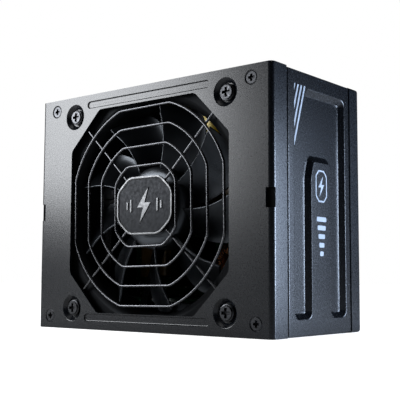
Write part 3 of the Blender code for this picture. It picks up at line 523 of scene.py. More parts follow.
def fan_cover():
    cover = box("fan_cover_sheet", cover_low, cover_high)
    round_edges(cover, lambda a, b: abs(a.x - b.x) < 0.01 and max(a.y, b.y) < FRONT + 0.1
                and abs(a.z - b.z) > 1, COVER_BEND, 10)
    flag(cover, faces=lambda c, n: abs(n.z) > 0.9 or n.y > 0.9)
    with editing(cover, "FACE"):
        bpy.ops.mesh.delete(type="FACE")
    apply(cover, "SOLIDIFY", thickness=SHEET * MM, offset=-1, use_even_offset=True)
    for x, z in fan_corners():
        weld(cover, rod("cup", (x, FRONT + 1.85, z), 2.3, 6.2))
    half, flat = 43, 26.2
    opening = prism("opening", octagon(0, FAN_Z, half, half, flat, flat), FRONT - 2, FRONT + 2)
    round_edges(opening, lambda a, b: abs(a.y - b.y) > 1, 1.2)
    cut(cover, opening)
    bead_reach, bead_half, bead_depth = 33.6, 1.6, 0.6
    for z in (95.5, 4.95):
        bead = prism("bead", rounded_rectangle(0, z, bead_reach, bead_half, bead_half - 0.01, 8),
                     FRONT - 1, FRONT + bead_depth)
        round_edges(bead, lambda a, b: min(a.y, b.y) > FRONT, 0.5)
        cut(cover, bead)
    for x, z in fan_corners():
        cut(cover, dimple("dimple", x, z), rod("hole", (x, FRONT + 3, z), 6, 2.3, sides=24))
    for index in range(1, 5):
        place = middle(f"cover_screw_{index}")
        cut(cover, rod("hole", (place.x, FRONT + 1, place.z), 6, 1.9, sides=24),
            rod("sink", (place.x, FRONT + 0.2, place.z), 1.2, 3.35, sides=40, end_radius=1.9))
    # Dull black blocks behind the notches: painted shade, a dark sheet standing where the notch would show
    # the lit inside of the case.
    shade_blocks = []
    for side in (-1, 1):
        cut(cover, notch(side))
        xs = sorted((side * 57, side * (SIDE - 0.05)))
        shade_blocks.append(box("shade_block", (xs[0], FRONT + 1.25, FAN_Z - 3.2), (xs[1], FRONT + 1.85, FAN_Z + 4.0)))
    install(smooth(soften(gather("notch_shade_blocks", shade_blocks), 0.1)), "wire_sheath", notch_shade_black)
    soften(cover, 0.14)
    install(smooth(cover), "case_paint", case_paint, "fan_cover")


def vent_places():
    """The vent's rows of hexagonal holes, which keep clear of the mains fittings."""
    pitch, rows, columns, first_row, half_width = 7.2, 8, 15, -22.0, 50.4
    fitting_edge_x, fitting_edge_y = 0.5, -9.0
    places = []
    for row in range(rows):
        y = first_row + row * pitch * math.sqrt(3) / 2
        for column in range(columns):
            x = -half_width + column * pitch + (pitch / 2 if row % 2 else 0)
            if x <= half_width and not (x < fitting_edge_x and y > fitting_edge_y):
                places.append((x, y))
    return places


def hexagon(x, y, across_flats):
    return arc(x, y, across_flats / math.sqrt(3), 30, 330, 5)


def rear_tray():
    tray = box("rear_tray_sheet", (-SIDE, FRONT - 10, 0), (SIDE, BACK, HEIGHT))
    round_edges(tray, lambda a, b: True, BEND, 6)
    front_edge = tray_low.y
    far, inside, panel = 300, SIDE - SHEET, SIDE - SHEET - GAP
    cut(tray,
        box("hollow", (-inside, -far, SHEET), (inside, BACK - SHEET, HEIGHT - SHEET)),
        box("front", (-far, -far, -far), (far, front_edge, far)),
        box("right", (panel, -far, -far), (far, BACK_STRIP, far)),
        box("left", (-far, -far, -far), (-panel, BACK_STRIP, far)))
    below, above = HEIGHT - 3, HEIGHT + 3
    holes = [prism("vent", hexagon(x, y, 6.0), below, above, "Z") for x, y in vent_places()]
    mounting_x, mounting_y = 56.5, 25.75
    holes += [rod("mounting", (sx * mounting_x, sy * mounting_y, HEIGHT), 6, 1.6, "Z", 24)
              for sx in (-1, 1) for sy in (-1, 1)]
    for node, half_x, half_y in (("inlet_body", 13.9, 10.4), ("switch_housing", 7, 10.1)):
        place = middle(node)
        holes.append(post("cutout", place.x, place.y, half_x, half_y, below, above))
    for name in SOCKETS:
        low, high = corners(name)
        holes.append(box("window", (low.x - GAP, low.y - GAP, -3), (high.x + GAP, high.y + GAP, 3)))
    seat_half_x, seat_half_z, seat_depth = 48, 36, 0.6
    holes.append(prism("label_seat", rounded_rectangle(0, HEIGHT / 2, seat_half_x, seat_half_z, 1.5),
                       BACK - seat_depth, BACK + 2))
    cut(tray, gather("holes", holes))
    for index in range(1, 5):
        place = middle(f"cover_screw_{index}")
        side, top = math.copysign(1, place.x), place.z > HEIGHT / 2
        xs = sorted((side * 48.5, side * 59.5))
        low_z, high_z = (89.5, HEIGHT - 0.5) if top else (0.5, 10.8)
        tab = box("tab", (xs[0], front_edge + 0.1, low_z), (xs[1], front_edge + 1.1, high_z))
        weld(tray, cut(tab, rod("thread", (place.x, FRONT + 2, place.z), 6, 1.6, sides=24)))
    boss_x, boss_heights, boss_y, thread_y = 54, (18, 92), 29.35, 27.6
    for x in (-boss_x, boss_x):
        for z in boss_heights:
            boss = rod("boss", (x, boss_y, z), 3.5, 2.9, sides=32)
            weld(tray, cut(boss, rod("thread", (x, thread_y, z), 5, 1.9, sides=24)))
    soften(tray, 0.12, 1)
    install(smooth(tray), "case_paint", case_paint, "rear_tray")


SOCKETS = [node for node in sorted(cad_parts) if "socket_" in node and node != "socket_board"]


def pressed_outline(grow=0.0):
    """The rim of a side plate's pressed area, as (y, z): a broad field with a slanted corner,
    which leaves a tongue standing at the plate's own level. grow moves the rim outwards."""
    wide, tight = 2.9 + grow, 0.9 - grow
    low, high, tongue_top = 9.3, 90.6, 65.3
    return (arc(16.9, low, wide, 270, 360, 6) + arc(16.9, high, wide, 0, 90, 6)
            + arc(-7.15, high, wide, 90, 161.5, 4) + arc(-14.6, 68.45, wide, 161.5, 180, 2)
            + arc(-14.6, low, wide, 180, 270, 6) + arc(-8.5, low, wide, 270, 360, 6)
            + [(-5.6 + grow, 59.2), (-5.4 + grow, 60.0)] + arc(-2.9, tongue_top, tight, 166, 90, 4)
            + arc(7.3, tongue_top, tight, 90, 0, 4) + arc(11.1, low, wide, 180, 270, 6))


def press_cutter(name, side, level):
    """The shape of the press: a rounded lip, a sloped wall and a rounded floor."""
    run, depth, fillet = PRESS_RUN, PRESS_DEPTH, 0.85
    slope = math.atan2(depth, run)
    tangent = fillet * math.tan(slope / 2)
    steps = [slope * share for share in (0.25, 0.5, 0.75, 1.0)]
    profile = [(-tangent, -0.02)]
    profile += [(-tangent + fillet * math.sin(a), fillet * (1 - math.cos(a))) for a in steps]
    profile += [(run + tangent - fillet * math.sin(a), depth - fillet * (1 - math.cos(a)))
                for a in reversed([0.0] + steps)]
    start = level - profile[0][1]
    cutter = prism(name, pressed_outline(tangent), side * (level + 1.5), side * start, "X")
    flag(cutter, faces=lambda c, n: abs(abs(c.x) - start) < 0.005)
    with editing(cutter, "FACE"):
        for before, after in zip(profile, profile[1:]):
            bpy.ops.mesh.inset(thickness=(after[0] - before[0]) * MM,
                               depth=(after[1] - before[1]) * MM)
    return cutter


def side_plate(name, side):
    low, high = corners(name)
    outer = SIDE - 0.03
    front, back = STRIP_END + GAP, BACK_STRIP - GAP
    tongue = SIDE - SHEET - GAP
    inner, lap = outer - SHEET, tongue - SHEET
    half = [(tongue, low.y), (tongue, front), (outer, front), (outer, back), (tongue, back),
            (tongue, high.y), (lap, high.y), (lap, back - SHEET), (inner, back - SHEET),
            (inner, front + SHEET), (lap, front + SHEET), (lap, low.y)]
    plate = prism(name + "_sheet", [(side * x, y) for x, y in half], low.z, high.z, "Z")
    round_edges(plate, lambda a, b: abs(a.z - b.z) > 1 and abs(a.x) > outer - 0.1, 1.05, 6)
    backing = prism("backing", pressed_outline(0.6), side * (outer - 0.5), side * (outer - 1.0), "X")
    flag(backing, faces=lambda c, n: abs(abs(c.x) - outer + 1.0) < 0.01)
    with editing(backing, "FACE"):
        bpy.ops.mesh.inset(thickness=PRESS_RUN * MM, depth=PRESS_DEPTH * MM)
    weld(plate, backing)
    cut(plate, press_cutter("press", side, outer))
    ends = []
    for z_low, z_high in ((-1, 1.5), (HEIGHT - 1.5, HEIGHT + 1)):
        xs = sorted((side * (tongue - 2), side * (tongue + 0.12)))
        ends.append(box("end", (xs[0], low.y - 2, z_low), (xs[1], high.y + 2, z_high)))
    cut(plate, *ends)
    install(smooth(plate, 40), "side_paint", side_paint, name)
    side_marks(name, side)


def side_marks(name, side):
    """Plain printed marks: four slanted stripes, a bolt in an octagon, and a row of bars."""
    film = (*sorted((side * (SIDE - 0.06), side * SIDE)), "X")
    shapes = []
    slope = (93.5 - 69.0) / (-9.3 + 17.5)
    left, top, width = -17.3, 94.2, 1.0
    for top_y in (-16.4, -14.0, -11.7, -9.4):
        bottom_z = top - (top_y - width - left) * slope if top_y - width > left else top
        outline = [(top_y, top), (top_y - width, top), (left, bottom_z),
                   (left, top - (top_y - left) * slope)]
        shapes.append(prism("stripe", outline, *film))
    centre_y, centre_z = 1.6, 57.0
    ring = prism("ring", octagon(centre_y, centre_z, 4.1, 6.2, 1.9, 4.0), *film)
    hole = prism("hole", octagon(centre_y, centre_z, 3.5, 5.6, 1.6, 3.7), film[0] - 1, film[1] + 1, "X")
    shapes.append(cut(ring, hole))
    shapes.append(prism("bolt", bolt_outline(centre_y, centre_z, 8.2), *film))
    for index in range(5):
        z = 31.0 + index * 3.3
        reach = 1.3 + 0.55 * index
        shapes.append(prism("bar", rounded_rectangle(centre_y, z, reach, 0.9, 0.5, 3), *film))
    install(smooth(gather(name + "_marks", shapes), 30, False), "label_film", print_grey)


def rating_label():
    low, high = corners("rating_label")
    outline = rounded_rectangle(0, middle("rating_label").z, high.x, (high.z - low.z) / 2, 1.5)
    label = prism("rating_label_film", outline, low.y, high.y - 0.02)
    install(smooth(soften(label, 0.05, 1)), "label_film", label_black, "rating_label")
    level, line = high.y - 0.03, 0.25
    shapes = [box("line", (-42, level, z), (42, high.y, z + line)) for z in (74, 66, 58, 50)]
    shapes += [box("line", (x, level, 50), (x + line, high.y, 74.25))
               for x in (-42, -22, -8, 6, 20, 41.75)]
    for row in range(3):
        for column in range(5):
            x = -36 + column * 14.3
            shapes.append(box("entry", (x, level, 53.2 + row * 8), (x + 6, high.y, 54.6 + row * 8)))
    shapes += [box("entry", (-42, level, z), (-42 + length, high.y, z + 1.2))
               for z, length in ((43, 50), (39, 62), (35, 44), (24, 30))]
    shapes.append(prism("bolt", bolt_outline(34, 33, 15), level, high.y))
    install(smooth(gather("rating_label_print", shapes), 30, False), "label_film", print_grey)


# -------- screws

def cross_recess(x, front, z, reach, arm, depth):
    """A tapered cross, as cut by a cross-head punch."""
    arms = []
    for half_x, half_z in ((reach, arm), (arm, reach)):
        cutter = post("arm", x, z, half_x, half_z, front - 1, front + depth, "Y")
        flag(cutter, faces=lambda c, n: n.y > 0.9)
        with editing(cutter, "FACE"):
            bpy.ops.transform.resize(value=(0.75, 1, 0.75),
                                     center_override=Vector((x, front + depth, z)) * MM)
        arms.append(cutter)
    return arms


def case_screw(node, head, tip_radius, chamfer, recess, steps, softness):
    """A turned screw with a cross recess. Its head's outline ends where its shank starts."""
    low, high = corners(node)
    x, z, length = middle(node).x, middle(node).z, high.y - low.y
    profile = head + [(head[-1][0], length - chamfer), (tip_radius, length), (0, length)]
    screw = turned(node + "_head", profile, (x, low.y, z), steps=steps)
    cut(screw, *cross_recess(x, low.y, z, *recess))
    install(smooth(soften(screw, softness, 1, 50)), "dark_screw", dark_steel, node)


def case_screws():
    pan = [(0, 0), (2.6, 0.02), (2.75, 0.12), (2.8, 0.6), (3.2, 0.64), (3.3, 0.8), (3.3, 1.4),
           (1.75, 1.4)]
    countersunk = [(0, 0.16), (2.25, 0.16), (2.5, 0.32), (1.3, 1.25)]
    for index in range(1, 5):
        case_screw(f"fan_screw_{index}", pan, 1.2, 0.6, (2.15, 0.66, 1.3), 48, 0.06)
        case_screw(f"cover_screw_{index}", countersunk, 0.9, 0.5, (1.55, 0.55, 1.2), 40, 0.05)


# -------- fan guard

def ring_path(flat_distance, flat_half, y):
    """A ring with four flats, each joined to the next by an arc with a short blend."""
    radius = math.hypot(flat_distance, flat_half)
    tilt = math.degrees(math.atan2(flat_half, flat_distance))
    blend = 1.2
    blend_deg = math.degrees(blend / radius)
    path = []
    for quarter in range(4):
        start_deg = 90 * quarter + GRILLE_LEAN_DEG
        turn = Matrix.Rotation(math.radians(start_deg), 2)
        next_turn = Matrix.Rotation(math.radians(start_deg + 90), 2)
        start, end, corner = (turn @ Vector((flat_distance, v))
                              for v in (blend - flat_half, flat_half - blend, flat_half))
        next_corner, next_start = (next_turn @ Vector((flat_distance, v))
                                   for v in (-flat_half, blend - flat_half))
        bow = arc(0, 0, radius, start_deg + tilt + blend_deg, start_deg + 90 - tilt - blend_deg, 14)
        path += [start, end, *rounding(end, corner, Vector(bow[0])), *bow,
                 *rounding(Vector(bow[-1]), next_corner, next_start)]
    return [(GRILLE_X + u, y, GRILLE_Z + v) for u, v in path]


def rounding(a, b, c):
    """Points of the curve that leads from a to c by way of the corner b."""
    return [a * (1 - t) ** 2 + b * 2 * t * (1 - t) + c * t * t for t in (0.25, 0.5, 0.75)]


def fan_grille():
    wire, weld_radius, spoke_reaches = 0.56, 0.5, (7.0, 20.0, 35.0, 50.8)
    ring_y = corners("fan_grille")[0].y + wire + 0.02
    spoke_y = ring_y + 2 * wire - 0.1
    guard = wires("fan_grille_rings", [ring_path(d, f, ring_y) for d, f in GRILLE_RINGS], wire,
                  closed=True, resolution=5)
    spokes, welds = [], []
    for angle_deg in SPOKE_DEGREES:
        a = math.radians(angle_deg)
        spokes.append([(GRILLE_X + r * math.cos(a), spoke_y, GRILLE_Z + r * math.sin(a))
                       for r in spoke_reaches])
        for distance, flat in GRILLE_RINGS:
            radius = math.hypot(distance, flat)
            centre = (GRILLE_X + radius * math.cos(a), (ring_y + spoke_y) / 2,
                      GRILLE_Z + radius * math.sin(a))
            bpy.ops.mesh.primitive_uv_sphere_add(
                segments=12, ring_count=8, radius=weld_radius * MM, location=Vector(centre) * MM)
            welds.append(settle("weld"))
    bars = wires("spokes", spokes, wire, resolution=5)
    guard = gather("fan_grille_wire", [guard, bars, *welds])
    install(smooth(guard, 50, False), "grille_wire", nickel_wire, "fan_grille")


def grille_badge():
    low, high = corners("grille_badge")
    z = middle("grille_badge").z
    plate = prism("grille_badge_plate", octagon(0, z, 15.0, 11.8, 8.4, 5.8), low.y, high.y)
    round_edges(plate, lambda a, b: abs(a.y - b.y) > 0.5, 2.2, 6)
    flag(plate, faces=lambda c, n: n.y < -0.9)
    with editing(plate, "FACE"):
        bpy.ops.mesh.inset(thickness=0.8 * MM, depth=0)
        bpy.ops.mesh.inset(thickness=0.3 * MM, depth=-0.4 * MM)
    soften(plate, 0.12, 2, 25)
    install(smooth(plate, 40), "badge_metal", badge_bright, "grille_badge")
    plate.data.materials.append(badge_field)
    for face in plate.data.polygons:
        centre = face.center / MM
        if centre.y > low.y + 0.3 and face.normal.y < -0.9:
            face.material_index = 1
    emblem = prism("badge_bolt", bolt_outline(0, z, 14.5), low.y + 0.08, low.y + 0.6)
    bars = [prism("bar", rounded_rectangle(side * (7.2 + 2.0 * i), z, 0.4, 2.6 - 1.0 * i, 0.35, 3),
                  low.y + 0.08, low.y + 0.6) for side in (-1, 1) for i in range(2)]
    emblem = gather("grille_badge_emblem", [emblem, *bars])
    soften(emblem, 0.12, 2, 40)
    install(smooth(emblem, 40), "badge_metal", badge_bright)


# -------- fan

def fan_frame():
    half = corners("fan_frame")[1].x
    bore, flange = DUCT_RADIUS, 3.6
    depth = FAN_BACK - FAN_FRONT
    outline = rounded_rectangle(0, FAN_Z, half, half, 4, 6)
    frame_body = prism("fan_frame_moulding", outline, FAN_FRONT, FAN_FRONT + flange)
    weld(frame_body, prism("back", outline, FAN_BACK - flange, FAN_BACK),
         rod("sleeve", (0, FAN_FRONT + depth / 2, FAN_Z), depth - 1, 45.2, sides=96))
    mouth = [(0, -2), (49.5, -2), (49.5, -0.3), (46.4, 0.05), (45.2, 0.5), (44.2, 1.4), (43.5, 2.8),
             (bore, 4.6), (bore, depth + 2), (0, depth + 2)]
    cut(frame_body, turned("duct", mouth, (0, FAN_FRONT, FAN_Z), steps=96))
    for x, z in fan_corners():
        cut(frame_body, rod("hole", (x, FAN_FRONT + depth / 2, z), depth + 4, 2.15, sides=24))
    base = turned("base", [(4.3, -2.6), (16.0, -2.6), (16.5, -2.3), (16.5, -0.3), (16.2, 0),
                           (4.3, 0), (4.3, -2.6)], (0, FAN_BACK, FAN_Z), steps=48)
    weld(frame_body, base)
    for quarter in range(4):
        strut = box("strut", (-1.6, FAN_BACK - 2.5, 15), (1.6, FAN_BACK - 0.1, 44.2))
        turn = Matrix.Rotation(math.radians(20 + 90 * quarter), 4, "Y")
        strut.data.transform(Matrix.Translation((0, 0, FAN_Z * MM)) @ turn)
        weld(frame_body, strut)
    soften(frame_body, 0.25, 2, 40)
    install(smooth(frame_body), "fan_plastic", frame_black, "fan_frame")


def blade(index, hub_front, back):
    """One swept blade: a grid that is wound about the hub, then given an even thickness."""
    radial, across = 14, 10
    bpy.ops.mesh.primitive_grid_add(x_subdivisions=radial, y_subdivisions=across, size=1)
    surface = settle(f"blade_{index}")
    start_deg = FIRST_BLADE_DEG + index * 360 / BLADE_COUNT
    root, tip = HUB_RADIUS - 0.8, TIP_RADIUS
    for vertex in surface.data.vertices:
        share, along = vertex.co.x + 0.5, vertex.co.y + 0.5
        radius = root + share * (tip - root)
        chord = 33.0 - 8.0 * share
        tip_round = 3.0 * max(0.0, share - 0.85) / 0.15
        along_rounded = along * (1 - 0.06 * tip_round) + 0.02 * tip_round
        angle = math.radians(start_deg + 11.0 * share ** 1.8 - chord * along_rounded)
        rise = math.sin(along * math.pi / 2) ** 1.1
        y = hub_front + 0.5 + (back - hub_front - 0.5) * rise
        vertex.co = Vector((radius * math.cos(angle), y, FAN_Z + radius * math.sin(angle))) * MM
    apply(surface, "SOLIDIFY", thickness=0.95 * MM, offset=0)
    return soften(surface, 0.3, 3, 50)


def fan_impeller():
    low, high = corners("fan_impeller")
    hub_front, back = low.y, high.y - 0.5
    length = 9.9
    profile = [(0, 0.05), (6, 0.0), (12, 0.12), (14.6, 0.35), (16.0, 0.9), (16.75, 1.8), (17.0, 3.0),
               (17.0, length), (15.4, length), (15.4, 1.7), (0, 1.7)]
    hub = turned("fan_impeller_hub", profile, (0, hub_front, FAN_Z), steps=72)
    smooth(hub, 40)
    blades = [smooth(blade(index, hub_front, back), 40) for index in range(BLADE_COUNT)]
    impeller = gather("fan_impeller_moulding", [hub, *blades])
    install(impeller, "fan_plastic", blade_shaded_black, "fan_impeller", body="fan_rotor")
    # The hub's faces take the lighter copy of the impeller's black, a painted sheen.
    impeller.data.materials.append(hub_sheen_black)
    for face in impeller.data.polygons:
        if math.hypot(face.center.x, face.center.z - FAN_Z * MM) < (HUB_RADIUS + 0.05) * MM:
            face.material_index = 1


# -------- mains end

PIVOT_DEPTH, ROCKER_TILT_DEG = 1.5, 9


def bezel(name, node, half_x, half_y, corner, core_x, core_y):
    """A moulding on the mains panel, whose core reaches through the panel's cut-out."""
    low, high = corners(node)
    place, top = (low + high) / 2, high.z
    x, y = place.x, place.y
    moulding = prism(name, rounded_rectangle(x, y, half_x, half_y, corner, 8), HEIGHT + GAP, top, "Z")
    round_edges(moulding, lambda a, b: min(a.z, b.z) > top - 0.1, 0.6, 3)
    weld(moulding, post("core", x, y, core_x, core_y, low.z, HEIGHT + 0.8))
    return moulding, x, y, top


def mains_inlet():
    moulding, x, y, top = bezel("inlet_moulding", "inlet_body", 15.5, 12.2, 2.0, 13.5, 10.0)
    half_x, half_y, corner = 12.2, 8.6, 4.6
    outline = ((-half_x, -half_y), (half_x, -half_y), (half_x, half_y - corner),
               (half_x - corner, half_y), (corner - half_x, half_y), (-half_x, half_y - corner))
    mouth = prism("mouth", [(x + u, y + v) for u, v in outline], top - 18, top + 2, "Z")
    round_edges(mouth, lambda a, b: abs(a.z - b.z) > 5, 1.0)
    cut(moulding, mouth)
    for name in ("live", "earth", "neutral"):
        low, high = corners(f"inlet_blade_{name}")
        cut(moulding, box("slot", (low.x - GAP, low.y - GAP, low.z - 3),
                          (high.x + GAP, high.y + GAP, top - 10)))
        pin = box(f"inlet_blade_{name}_strip", low, high)
        round_edges(pin, lambda a, b: min(a.z, b.z) > high.z - 0.1, 0.55, 3)
        soften(pin, 0.12)
        install(smooth(pin), "brass", brass_finish, f"inlet_blade_{name}")
    soften(moulding, 0.2)
    install(smooth(moulding), "black_plastic", socket_black, "inlet_body")


def mains_switch():
    moulding, x, y, top = bezel("switch_moulding", "switch_housing", 8.0, 11.2, 1.5, 6.6, 9.7)
    cut(moulding, post("well", x, y, 5.6, 8.7, HEIGHT - 9, top + 2),
        rod("pivot", (x, y, HEIGHT - PIVOT_DEPTH), 12.4, 1.0, "X", 16))
    soften(moulding, 0.2)
    install(smooth(moulding), "black_plastic", socket_black, "switch_housing")
    switch_rocker(x, y)


def switch_rocker(x, y):
    """Drawn level about its pivot, then tipped to its off side with its marks."""
    reach, crown, dip, half_width = 7.7, 4.6, 3.0, 5.3
    steps = 12
    profile = [(-reach, 0.5), (-reach, crown - 0.3)]
    profile += [(-reach + 0.4 + (2 * reach - 0.8) * i / steps,
                 dip + (crown - dip) * (2 * i / steps - 1) ** 2) for i in range(steps + 1)]
    profile += [(reach, crown - 0.3), (reach, 0.5)] + arc(0, -1.2, 3.0, -20, -160, 8)
    body = prism("rocker", profile, -half_width, half_width, "X")
    weld(body, rod("pivots", (0, 0, 0), 11.8, 0.7, "X", 16))
    soften(body, 0.3, 2, 30)
    smooth(body)
    tilt = (Matrix.Translation(Vector((x, y, HEIGHT - PIVOT_DEPTH)) * MM)
            @ Matrix.Rotation(math.radians(-ROCKER_TILT_DEG), 4, "X"))
    body.data.transform(tilt)
    body.name = "switch_rocker_cap"
    install(body, "black_plastic", rocker_black, "switch_rocker", body="rocker")

    def surface(v):
        return dip + (crown - dip) * (v / (reach - 0.4)) ** 2
    mark_y, proud = 4.6, 0.03
    top = surface(mark_y) + proud
    bar = box("bar", (-1.6, -4.9, 0), (1.6, -4.3, top))
    ring = turned("ring", [(1.2, 0), (1.7, 0), (1.7, top), (1.2, top), (1.2, 0)],
                  (0, mark_y, 0), "Z", 32)
    for mark in (bar, ring):
        for vertex in mark.data.vertices:
            place = vertex.co / MM
            vertex.co.z = (surface(place.y) + (proud if place.z > 1 else -0.3)) * MM
    marks = gather("switch_rocker_marks", [bar, ring])
    marks.data.transform(tilt)
    install(marks, "label_film", mark_white, body="rocker")


# -------- output end

def output_sockets():
    """Each socket: a moulded block with a row of cells on each side and a contact in every cell."""
    pitch, cell, wall = 4.2, 3.5, 1.0
    for name in SOCKETS:
        low, high = corners(name)
        centre = (low + high) / 2
        columns = round((high.x - low.x - 2 * wall) / pitch)
        block = box(name + "_moulding", low, high)
        cells, contacts = [], []
        for column in range(columns):
            x = centre.x + (column - (columns - 1) / 2) * pitch
            for row in (-0.5, 0.5):
                y = centre.y + row * pitch
                half = cell / 2
                if (column + (row > 0)) % 2:
                    outline = rounded_rectangle(x, y, half, half, 0.2, 2)
                else:
                    outline = [(x - half, y + row * 2 * half), (x - half, y - row * 1.2),
                               (x - half + 0.9, y - row * 2 * half), (x + half - 0.9, y - row * 2 * half),
                               (x + half, y - row * 1.2), (x + half, y + row * 2 * half)]
                cells.append(prism("cell", outline, low.z - 1, low.z + 8.2, "Z"))
                contact = post("contact", x, y, 0.55, 0.55, low.z + 3.4, low.z + 8.6)
                contacts.append(round_edges(contact, lambda a, b: max(a.z, b.z) < low.z + 3.5, 0.25, 2))
        cut(block, gather("cells", cells))
        cut(block, box("latch", (centre.x - 2.4, high.y - wall - 0.05, low.z - 1),
                       (centre.x + 2.4, high.y - 0.35, low.z + 3.2)))
        soften(block, 0.12, 1)
        install(smooth(block), "black_plastic", socket_black, name)
        install(smooth(gather(name + "_contacts", contacts)), "brass", brass_finish)


# -------- inside

def wound_choke(node, axis, turns, ring_radius, thickness):
    """A ring core with its copper turns laid side by side."""
    centre = middle(node)
    core_profile = rounded_rectangle(ring_radius, 0, thickness - 1.0, thickness - 1.0, 0.6, 3)
    core = turned(node + "_core", core_profile + core_profile[:1], centre, axis, 48)
    install(smooth(core), "ferrite", ferrite_grey, node)
    loops = []
    reach = thickness - 0.5
    for index in range(turns):
        angle = 2 * math.pi * index / turns
        out = Vector(on_axis(axis, math.cos(angle), math.sin(angle), 0))
        along = Vector(on_axis(axis, 0, 0, 1))
        loops.append([centre + out * (ring_radius + reach * math.cos(a)) + along * reach * math.sin(a)
                      for a in (2 * math.pi * i / 14 for i in range(14))])
    winding = wires(node + "_turns", loops, 0.45, closed=True, resolution=1)
    install(smooth(winding, 60, False), "copper", copper_wire)


def capacitor(node):
    low, high = corners(node)
    centre, steps = (low + high) / 2, 48
    radius, length = (high.x - low.x) / 2, high.y - low.y
    lip = min(1.0, radius * 0.12)
    profile = [(0, 0.25), (radius - 2.4 * lip, 0.25), (radius - 1.6 * lip, 0.0), (radius - 0.6 * lip, 0.1),
               (radius, 0.9 * lip), (radius, length - 4.2), (radius - 0.45, length - 3.6),
               (radius - 0.45, length - 2.9), (radius, length - 2.3), (radius, length - 0.3),
               (radius - 0.4, length), (0, length)]
    can = turned(node + "_can", profile, (centre.x, low.y, centre.z), steps=steps)
    install(smooth(can, 40), "capacitor_sleeve", sleeve_black, node)
    top = rod(node + "_top", (centre.x, low.y + 0.25, centre.z), 0.3, radius - 2.6 * lip, sides=steps)
    for half_x, half_z in ((radius * 0.6, 0.22), (0.22, radius * 0.6)):
        cut(top, post("score", centre.x, centre.z, half_x, half_z, low.y - 1, low.y + 0.25, "Y"))
    install(smooth(soften(top, 0.05, 1)), "heatsink_aluminium", aluminium)


def moulded_block(node, slot, finish, rounding_mm):
    block = soften(box(node + "_block", *corners(node)), rounding_mm, 4)
    install(smooth(block, 40), slot, finish, node)


def inner_parts():
    for node in ("filter_capacitor_1", "filter_capacitor_2"):
        moulded_block(node, "yellow_film", yellow_case, 1.0)
    # The taped windings take the darkened tape colour, which is painted shade.
    for node, rounding_mm in (("boost_choke", 1.6), ("standby_transformer", 1.4),
                              ("transformer_winding", 2.2)):
        moulded_block(node, "yellow_film", shaded_yellow_tape, rounding_mm)
    for node, rounding_mm in (("bridge_rectifier", 0.5), ("fan_plug", 0.4)):
        moulded_block(node, "black_plastic", socket_black, rounding_mm)
    wound_choke("line_choke", "X", 26, 6.3, 3.2)
    wound_choke("output_choke", "Y", 22, 5.0, 3.2)
    for node in ("bulk_capacitor", "output_capacitor_1", "output_capacitor_2"):
        capacitor(node)
    mains_fuse()
    plain = (
        (green_board, "main_board", "socket_board"), (smoked_film, "insulator_sheet"),
        (anodised, "primary_heatsink", "rectifier_heatsink", "output_heatsink"),
        (ferrite_grey, "transformer_core", "fan_magnet_ring"), (copper_wire, "fan_stator"),
        (bright_steel, "fan_shaft", *(f"board_screw_{i}" for i in range(1, 5))),
        (brass_finish, "fan_bearing"), (sheath_black, "fan_lead", "mains_harness"))
    for finish, *nodes in plain:
        for node in nodes:
            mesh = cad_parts[node].data
            mesh.materials.clear()
            mesh.materials.append(finish)


def mains_fuse():
    low, high = corners("mains_fuse")
    centre = (low + high) / 2
    length, radius = high.x - low.x, (high.z - low.z) / 2
    start = (low.x, centre.y, centre.z)
    inner, outer, cap_length = radius - 0.5, radius - 0.15, 3.4
    wall = [(inner, 3), (outer, 3), (outer, length - 3), (inner, length - 3), (inner, 3)]
    tube = turned("mains_fuse_tube", wall, start, "X", 32)
    install(smooth(tube), "fuse_glass", fuse_glass, "mains_fuse")
    caps = []
    for end in (0, length - cap_length):
        profile = [(0, end), (radius - 0.3, end), (radius, end + 0.3), (radius, end + 3.1),
                   (radius - 0.3, end + cap_length), (0, end + cap_length)]
        caps.append(turned("cap", profile, start, "X", 32))
    caps.append(rod("link", centre, length - 6, 0.12, "X", 8))
    install(smooth(gather("mains_fuse_caps", caps)), "shaft_steel", bright_steel)


# -------- stage

def lamp(name, kind, place, target, power, colour=(1, 1, 1), **settings):
    """A lamp that shines from its place towards a target, both in millimetres."""
    light = bpy.data.lights.new(name, kind)
    light.energy = power
    light.color = colour
    for key, value in settings.items():
        setattr(light, key, value)
    obj = link(name, light)
    place, target = Vector(place) * MM, Vector(target) * MM
    obj.location = place
    obj.rotation_euler = (target - place).to_track_quat("-Z", "Y").to_euler()
    obj.visible_camera = False


def softbox(name, place, target, width, height, radiance, colour=(1, 1, 1)):
    """A rectangular soft light of the given size in millimetres and brightness."""
    power = radiance * math.pi * width * height * MM * MM
    lamp(name, "AREA", place, target, power, colour, shape="RECTANGLE",
         size=width * MM, size_y=height * MM)


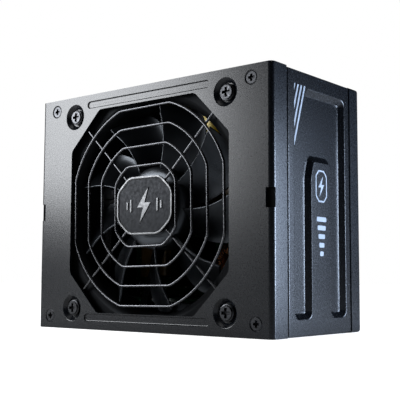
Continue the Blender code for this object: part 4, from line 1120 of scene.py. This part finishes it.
def studio():
    bpy.ops.mesh.primitive_plane_add(size=8, location=(0, 0, -0.0002))
    floor = settle("studio_floor")
    pale = Finish("pale_floor", Roughness=0.9, Specular_IOR_Level=0.2, Emission_Color=(1, 1, 1, 1))
    to_lens = pale.node("ShaderNodeLightPath").outputs["Is Camera Ray"]
    pale.feed("Emission Strength", pale.ramp(to_lens, 0.0, 1.0, 0.1, 0.9))
    pale.colour(pale.noise(3), (0.84, 0.84, 0.84), (0.88, 0.88, 0.88))
    floor.data.materials.append(pale.material)
    world = bpy.context.scene.world = bpy.data.worlds.new("studio_air")
    world.use_nodes = True
    nodes, join = world.node_tree.nodes, world.node_tree.links.new
    air, backdrop = nodes["Background"], nodes.new("ShaderNodeBackground")
    air.inputs["Color"].default_value = (0.75, 0.87, 1.0, 1)
    air.inputs["Strength"].default_value = 0.02
    backdrop.inputs["Color"].default_value = (1, 1, 1, 1)
    mix = nodes.new("ShaderNodeMixShader")
    join(nodes.new("ShaderNodeLightPath").outputs["Is Camera Ray"], mix.inputs[0])
    join(air.outputs[0], mix.inputs[1])
    join(backdrop.outputs[0], mix.inputs[2])
    join(mix.outputs[0], nodes["World Output"].inputs["Surface"])
    lamp("overhead", "SUN", (0, 0, 1000), (0, 0, 0), 0.7, angle=math.radians(50))
    softbox("front_left", (-244, -248, 147), (-40, -30, 70), 160, 140, 21.5, (0.94, 0.965, 1.0))
    softbox("right_low", (255, 152, 36), (62, 0, 42), 44, 150, 76, (0.62, 0.76, 1.0))
    bpy.context.scene.view_settings.view_transform = "Standard"


def camera():
    """A long lens, low down and to the front right of the case."""
    lens = bpy.data.cameras.new("camera")
    lens.lens, lens.sensor_width = 76.4, 36
    obj = link("camera", lens)
    yaw, pitch, roll = 0.6842, 0.0946, 0.0047
    obj.matrix_world = (Matrix.Translation(Vector((232.15, -280.50, 20.58)) * MM)
                        @ Matrix.Rotation(yaw, 4, "Z")
                        @ Matrix.Rotation(math.pi / 2 + pitch, 4, "X")
                        @ Matrix.Rotation(roll, 4, "Z"))
    lens.clip_start = 0.01
    bpy.context.scene.camera = obj


def build():
    fan_cover()
    rear_tray()
    side_plate("side_plate_right", 1)
    side_plate("side_plate_left", -1)
    for make in (rating_label, case_screws, fan_grille, grille_badge, fan_frame, fan_impeller,
                 mains_inlet, mains_switch, output_sockets, inner_parts, studio, camera):
        make()


build()
